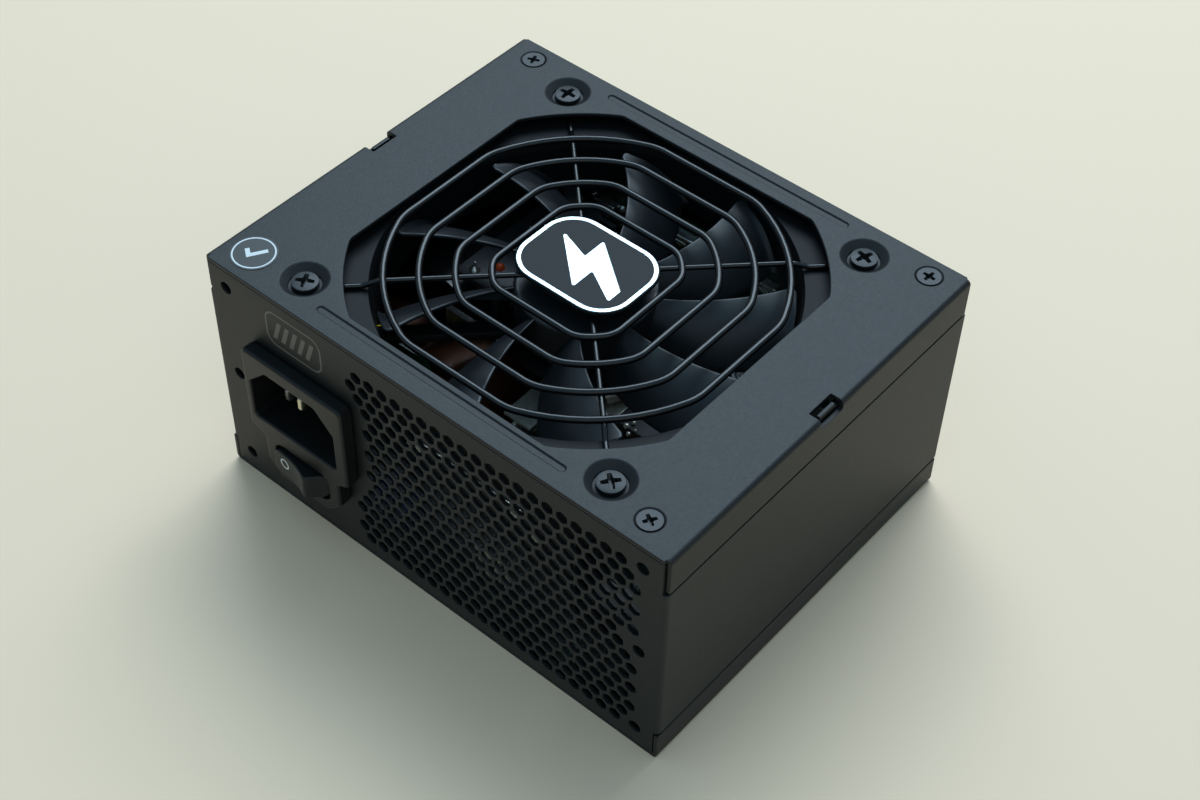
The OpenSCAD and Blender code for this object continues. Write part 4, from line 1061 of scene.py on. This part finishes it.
def build_sockets():
    body = Shape()
    pins = Shape()

    def well(shape, outline, steps, ends):
        shape.loft([lifted(outline(size), d) for size, d in steps], ends=ends)

    for x, w, z, spots in sockets():
        outer = rect(x, z - SOCKET_H / 2, x + w, z + SOCKET_H / 2, 0.35)
        holes = []
        for number, (cx, cz) in enumerate(spots):
            keyed = 1.0 if number % 4 in (1, 2) else 0.12
            holes.append(rect(cx - 1.8, cz - 1.8, cx + 1.8, cz + 1.8, [0.12, 0.12, keyed, keyed]))
        body.cap(grown(outer, -0.2), [grown(loop, 0.1) for loop in holes], 0)
        well(body, lambda s: grown(outer, -s), ((0.2, 0), (0.06, 0.06), (0, 0.2), (0, 7.4)), (False, True))
        for (cx, cz), loop in zip(spots, holes):
            well(body, lambda s: grown(loop, s), ((0.1, 0), (0.03, 0.03), (0, 0.1), (0, 6.6)), (False, True))
            pin = ((0.3, 2.2), (0.55, 2.8), (0.55, 6.7))
            well(pins, lambda s: rect(cx - s, cz - s, cx + s, cz + s, 0.08), pin, (True, True))
    for shape in (body, pins):
        shape.map(lambda x, z, d: Vector((x, HD - d, z)))
    body.publish("socket_housings", "modular_sockets")
    pins.publish("socket_pins", "modular_sockets", "tinned_copper")


# ---------- what is inside ----------


def polish(node, edge):
    """A CAD node's own shape with its edges rounded."""
    source = frame["nodes"][node]
    shape = Shape()
    bm = shape.bm
    bm.from_mesh(source.data)
    bm.transform(Matrix.Scale(1 / MM, 4) @ source.matrix_world)
    bmesh.ops.remove_doubles(bm, verts=bm.verts, dist=0.004)
    bmesh.ops.dissolve_limit(bm, angle_limit=math.radians(1.5), verts=bm.verts, edges=bm.edges)
    if edge:
        sharp_from = math.radians(40)
        sharp = [e for e in bm.edges if len(e.link_faces) == 2 and e.calc_face_angle(0) > sharp_from]
        bmesh.ops.bevel(
            bm, geom=sharp, offset=edge, segments=2, profile=0.5, affect="EDGES", clamp_overlap=True
        )
    shape.publish(node + "_finish", node)


def build_heatsinks():
    """The secondary heatsink, its plate darkened as painted shade, with clips whose light colour is partly
    painted glint, and dots of solder and glue on the primary one.
    """
    sink = Shape()
    sink.brick((-9.5, -41.5, 6.6), (33, -39.5, 37.6), 0.15)
    sink.brick((-9.5, -39.6, 36.6), (33, -34, 38), 0.15)
    # The plate's dark colour is painted shade.
    sink.publish("sink_plate", "secondary_heatsink", "dark_aluminium")
    # Clips and bars on the heatsink. Their light colour is partly painted glint along the heatsink's edges.
    clips = Shape()
    clips.brick((-9.5, -42.3, 35.7), (19, -41.3, 37.0), 0.45, 4)
    clips.brick((-13.5, -42.2, 32.6), (-9.3, -41.4, 35.2), 0.35, 3)
    clips.brick((15.2, -42.4, 32.6), (18.4, -41.4, 35.2), 0.45, 3)
    clips.brick((21.6, -42.2, 29.2), (24.4, -41.4, 33), 0.35, 3)
    for x in (5.5, 8.3, 11.1, 13.9):
        clips.brick((x, -42.6, 7.5), (x + 1.9, -41.4, 17.5), 0.5, 3)
    clips.publish("sink_clips_painted_glint", "secondary_heatsink", "strap_and_painted_glint")
    dots = Shape()
    for spot in ((-33.4, 0.9), (-32, 18), (-33, 30)):
        dots.lathe([(0, 41.4), (1.5, 41.4), (1.2, 41.9), (0.4, 42.6), (0.25, 43.6), (0, 43.8)], spot, 12)
    dots.publish("sink_solder", "primary_heatsink", "solder")
    glue = Shape()
    glue.lathe([(0, 41.3), (1.2, 41.4), (0.9, 42.1), (0.3, 42.5), (0, 42.5)], (-29.6, 4.9), 20)
    glue.publish("sink_glue", "primary_heatsink", "orange_glue")


def build_solder():
    """Solder joints and tinned bars on the inner face of the socket board."""
    dots = Shape()
    for _, _, _, spots in sockets():
        for spot in spots:
            dots.lathe([(0, -0.05), (1.25, 0), (0.9, 0.35), (0.5, 0.85), (0, 1.0)], spot, 12)
    dots.map(lambda x, z, d: Vector((x, 41 - d, z)))
    for x, z in ((-31, 38.6), (-8, 41.8), (15.5, 41.6)):
        dots.brick((x, 38.4, z), (x + 6.5, 41.05, z + 1.2), 0.4, 3)
        dots.brick((x + 1, 38.9, z - 2), (x + 4.5, 41.05, z - 0.9), 0.4, 3)
    dots.publish("socket_solder", "socket_board", "solder")


def build_coil_tops():
    """What shows through the grille: foil and beads, the earth wire's bow seen end on, a labelled can."""
    foil = Shape()
    foil.brick((11.5, -11.3, 12), (17.5, 9.3, 38.4), 0.3, 3)
    foil.brick((-2, -24.5, 36.8), (5.5, -10.9, 37.8), 0.35, 3)
    foil.brick((1, -26.2, 35.4), (8, -24.9, 36), 0.25, 3)
    foil.brick((1, -25.5, 34), (2, -15, 37), 0.25, 3)
    foil.tube([Vector((13, -8.8, 40.2)), Vector((16.6, -3.8, 41.6))], 1.7, 24)
    # Beads at the corner where glints show. Their light colour is partly painted glint.
    for x, y, r in ((20.6, -11.0, 0.7), (22.3, -12.4, 0.55), (21.2, -9.2, 0.5), (22.8, -10.6, 0.4)):
        bead = [(0.7, 0), (1, 0.8), (0.6, 1.5), (0, 1.7)]
        foil.lathe([(0, 37.9)] + [(r * wide, 38 + r * high) for wide, high in bead], (x, y), 12)
    foil.publish("core_strap", "transformer_core", "strap_and_painted_glint")
    bow = Shape()
    ball = [(0, 42.2), (0.7, 42.35), (1.25, 43), (1.4, 43.6), (1.25, 44.2), (0.7, 44.85), (0, 45)]
    bow.lathe(ball, (-34.0, -28.6), 24)
    bow.publish("earth_loop", "earth_wire", "wire_yellow")
    can = Shape()
    can.brick((-3.5, -24.5, 26.2), (7, -17.5, 26.9), 0.2)
    can.lathe([(0, 6.6), (4.8, 6.6), (4.8, 26), (4.4, 26.4), (0, 26.4)], (1.5, -21), 40)
    can.publish("filter_can", "output_capacitors", "brown_label")


# the nodes that keep their CAD shape, with the radius of their rounded edges
PLAIN = dict(
    fan_bearing=0.1, fan_stator=0.1, fan_coils=0.3, fan_board=0.1, rotor_yoke=0.1, rotor_magnet=0.15,
    fan_shaft=0.2, fan_lead=0, fan_plug=0.2, fan_header=0.15, switch_plunger=0.05, plunger_spring=0,
    contact_lever=0.08, switch_terminals=0.1, insulation_sheet=0, main_board=0.1, board_spacers=0.2,
    board_screws=0.1, filter_board=0.1, filter_capacitor=0.5, disc_capacitors=0.35, line_choke=0.6,
    choke_windings=0.5, fuse=0.2, thermistor=0.4, relay=0.3, bridge_rectifier=0.25, bridge_heatsink=0.12,
    boost_core=0.8, boost_winding=0.8, bulk_capacitor=0.4, primary_heatsink=0.15, power_transistors=0.25,
    transformer_core=0.4, transformer_winding=0.8, resonant_inductor=0.3, standby_transformer=0.3,
    output_capacitors=0.3, converter_board=0.12, bus_bars=0.15, socket_board=0.1, earth_wire=0,
)

build_cover()
build_wrap()
build_tray()
build_screws()
build_grille()
build_badge()
build_rear_mark()
build_sticker()
build_fan_frame()
build_rotor()
build_inlet()
build_pins()
build_rocker()
build_sockets()
build_heatsinks()
build_solder()
build_coil_tops()
for node, edge in PLAIN.items():
    polish(node, edge)

# ---------- room, light and camera ----------

floor_mesh = bpy.data.meshes.new("floor")
REACH = 12.0
corners = [(-REACH, -REACH, 0), (REACH, -REACH, 0), (REACH, REACH, 0), (-REACH, REACH, 0)]
floor_mesh.from_pydata(corners, [], [(0, 1, 2, 3)])
floor_mesh.materials.append(look("floor", (252, 221, 188), 0.55, spec=0.3))
floor = add_object("floor", floor_mesh)

world = bpy.data.worlds.new("studio")
bpy.context.scene.world = world
world.use_nodes = True
tree = world.node_tree
link = tree.links.new
split = add_node(tree, "SeparateXYZ")
link(add_node(tree, "TexCoord").outputs["Generated"], split.inputs["Vector"])
sky = add_node(tree, "MapRange", From_Min=-0.1, From_Max=0.9)
link(split.outputs["Z"], sky.inputs["Value"])
tint = color_mix(tree, (0.27, 0.235, 0.19), (0.42, 0.75, 1.0))
link(sky.outputs["Result"], tint.inputs["Factor"])
link(tint.outputs["Result"], tree.nodes["Background"].inputs["Color"])
tree.nodes["Background"].inputs["Strength"].default_value = 0.66


AIM = Vector((0, 0, 0.03))


def softbox(name, at, size, power, color):
    """A light from above, aimed at the middle of the object."""
    light = bpy.data.lights.new(name, "AREA")
    light.shape = "RECTANGLE"
    light.size, light.size_y = size
    light.energy = power
    light.color = color
    lamp = add_object(name, light)
    lamp.location = at
    lamp.rotation_euler = (AIM - Vector(at)).to_track_quat("-Z", "Y").to_euler()


softbox("window", (-0.5, 0.9, 1.3), (1.4, 1.0), 25, (0.70, 0.86, 1.0))
softbox("fill", (0.9, -0.6, 0.9), (0.9, 0.9), 0.9, (1.0, 0.92, 0.82))

# the camera as solved from the case's corners in the photograph
EYE = (0.194392, -0.232505, 0.3476)
FOCAL_PX, WIDTH_PX, SENSOR = 1995.34, 1200, 36
AZIMUTH, ELEVATION, ROLL = (math.radians(a) for a in (39.26, 46.954, 1.531))
back = Vector(
    (math.sin(AZIMUTH) * math.cos(ELEVATION), -math.cos(AZIMUTH) * math.cos(ELEVATION), math.sin(ELEVATION))
)
level = (-back).cross(Vector((0, 0, 1))).normalized()
rise = level.cross(-back)
right = math.cos(ROLL) * level + math.sin(ROLL) * rise
up = -math.sin(ROLL) * level + math.cos(ROLL) * rise
camera_data = bpy.data.cameras.new("camera")
camera_data.sensor_fit = "HORIZONTAL"
camera_data.sensor_width = SENSOR
camera_data.lens = FOCAL_PX * SENSOR / WIDTH_PX
camera_data.clip_start = 0.01
camera = add_object("camera", camera_data)
turn = Matrix((right, up, back)).transposed().to_4x4()
camera.matrix_world = Matrix.Translation(EYE) @ turn
bpy.context.scene.camera = camera
bpy.context.scene.view_settings.view_transform = "Standard"
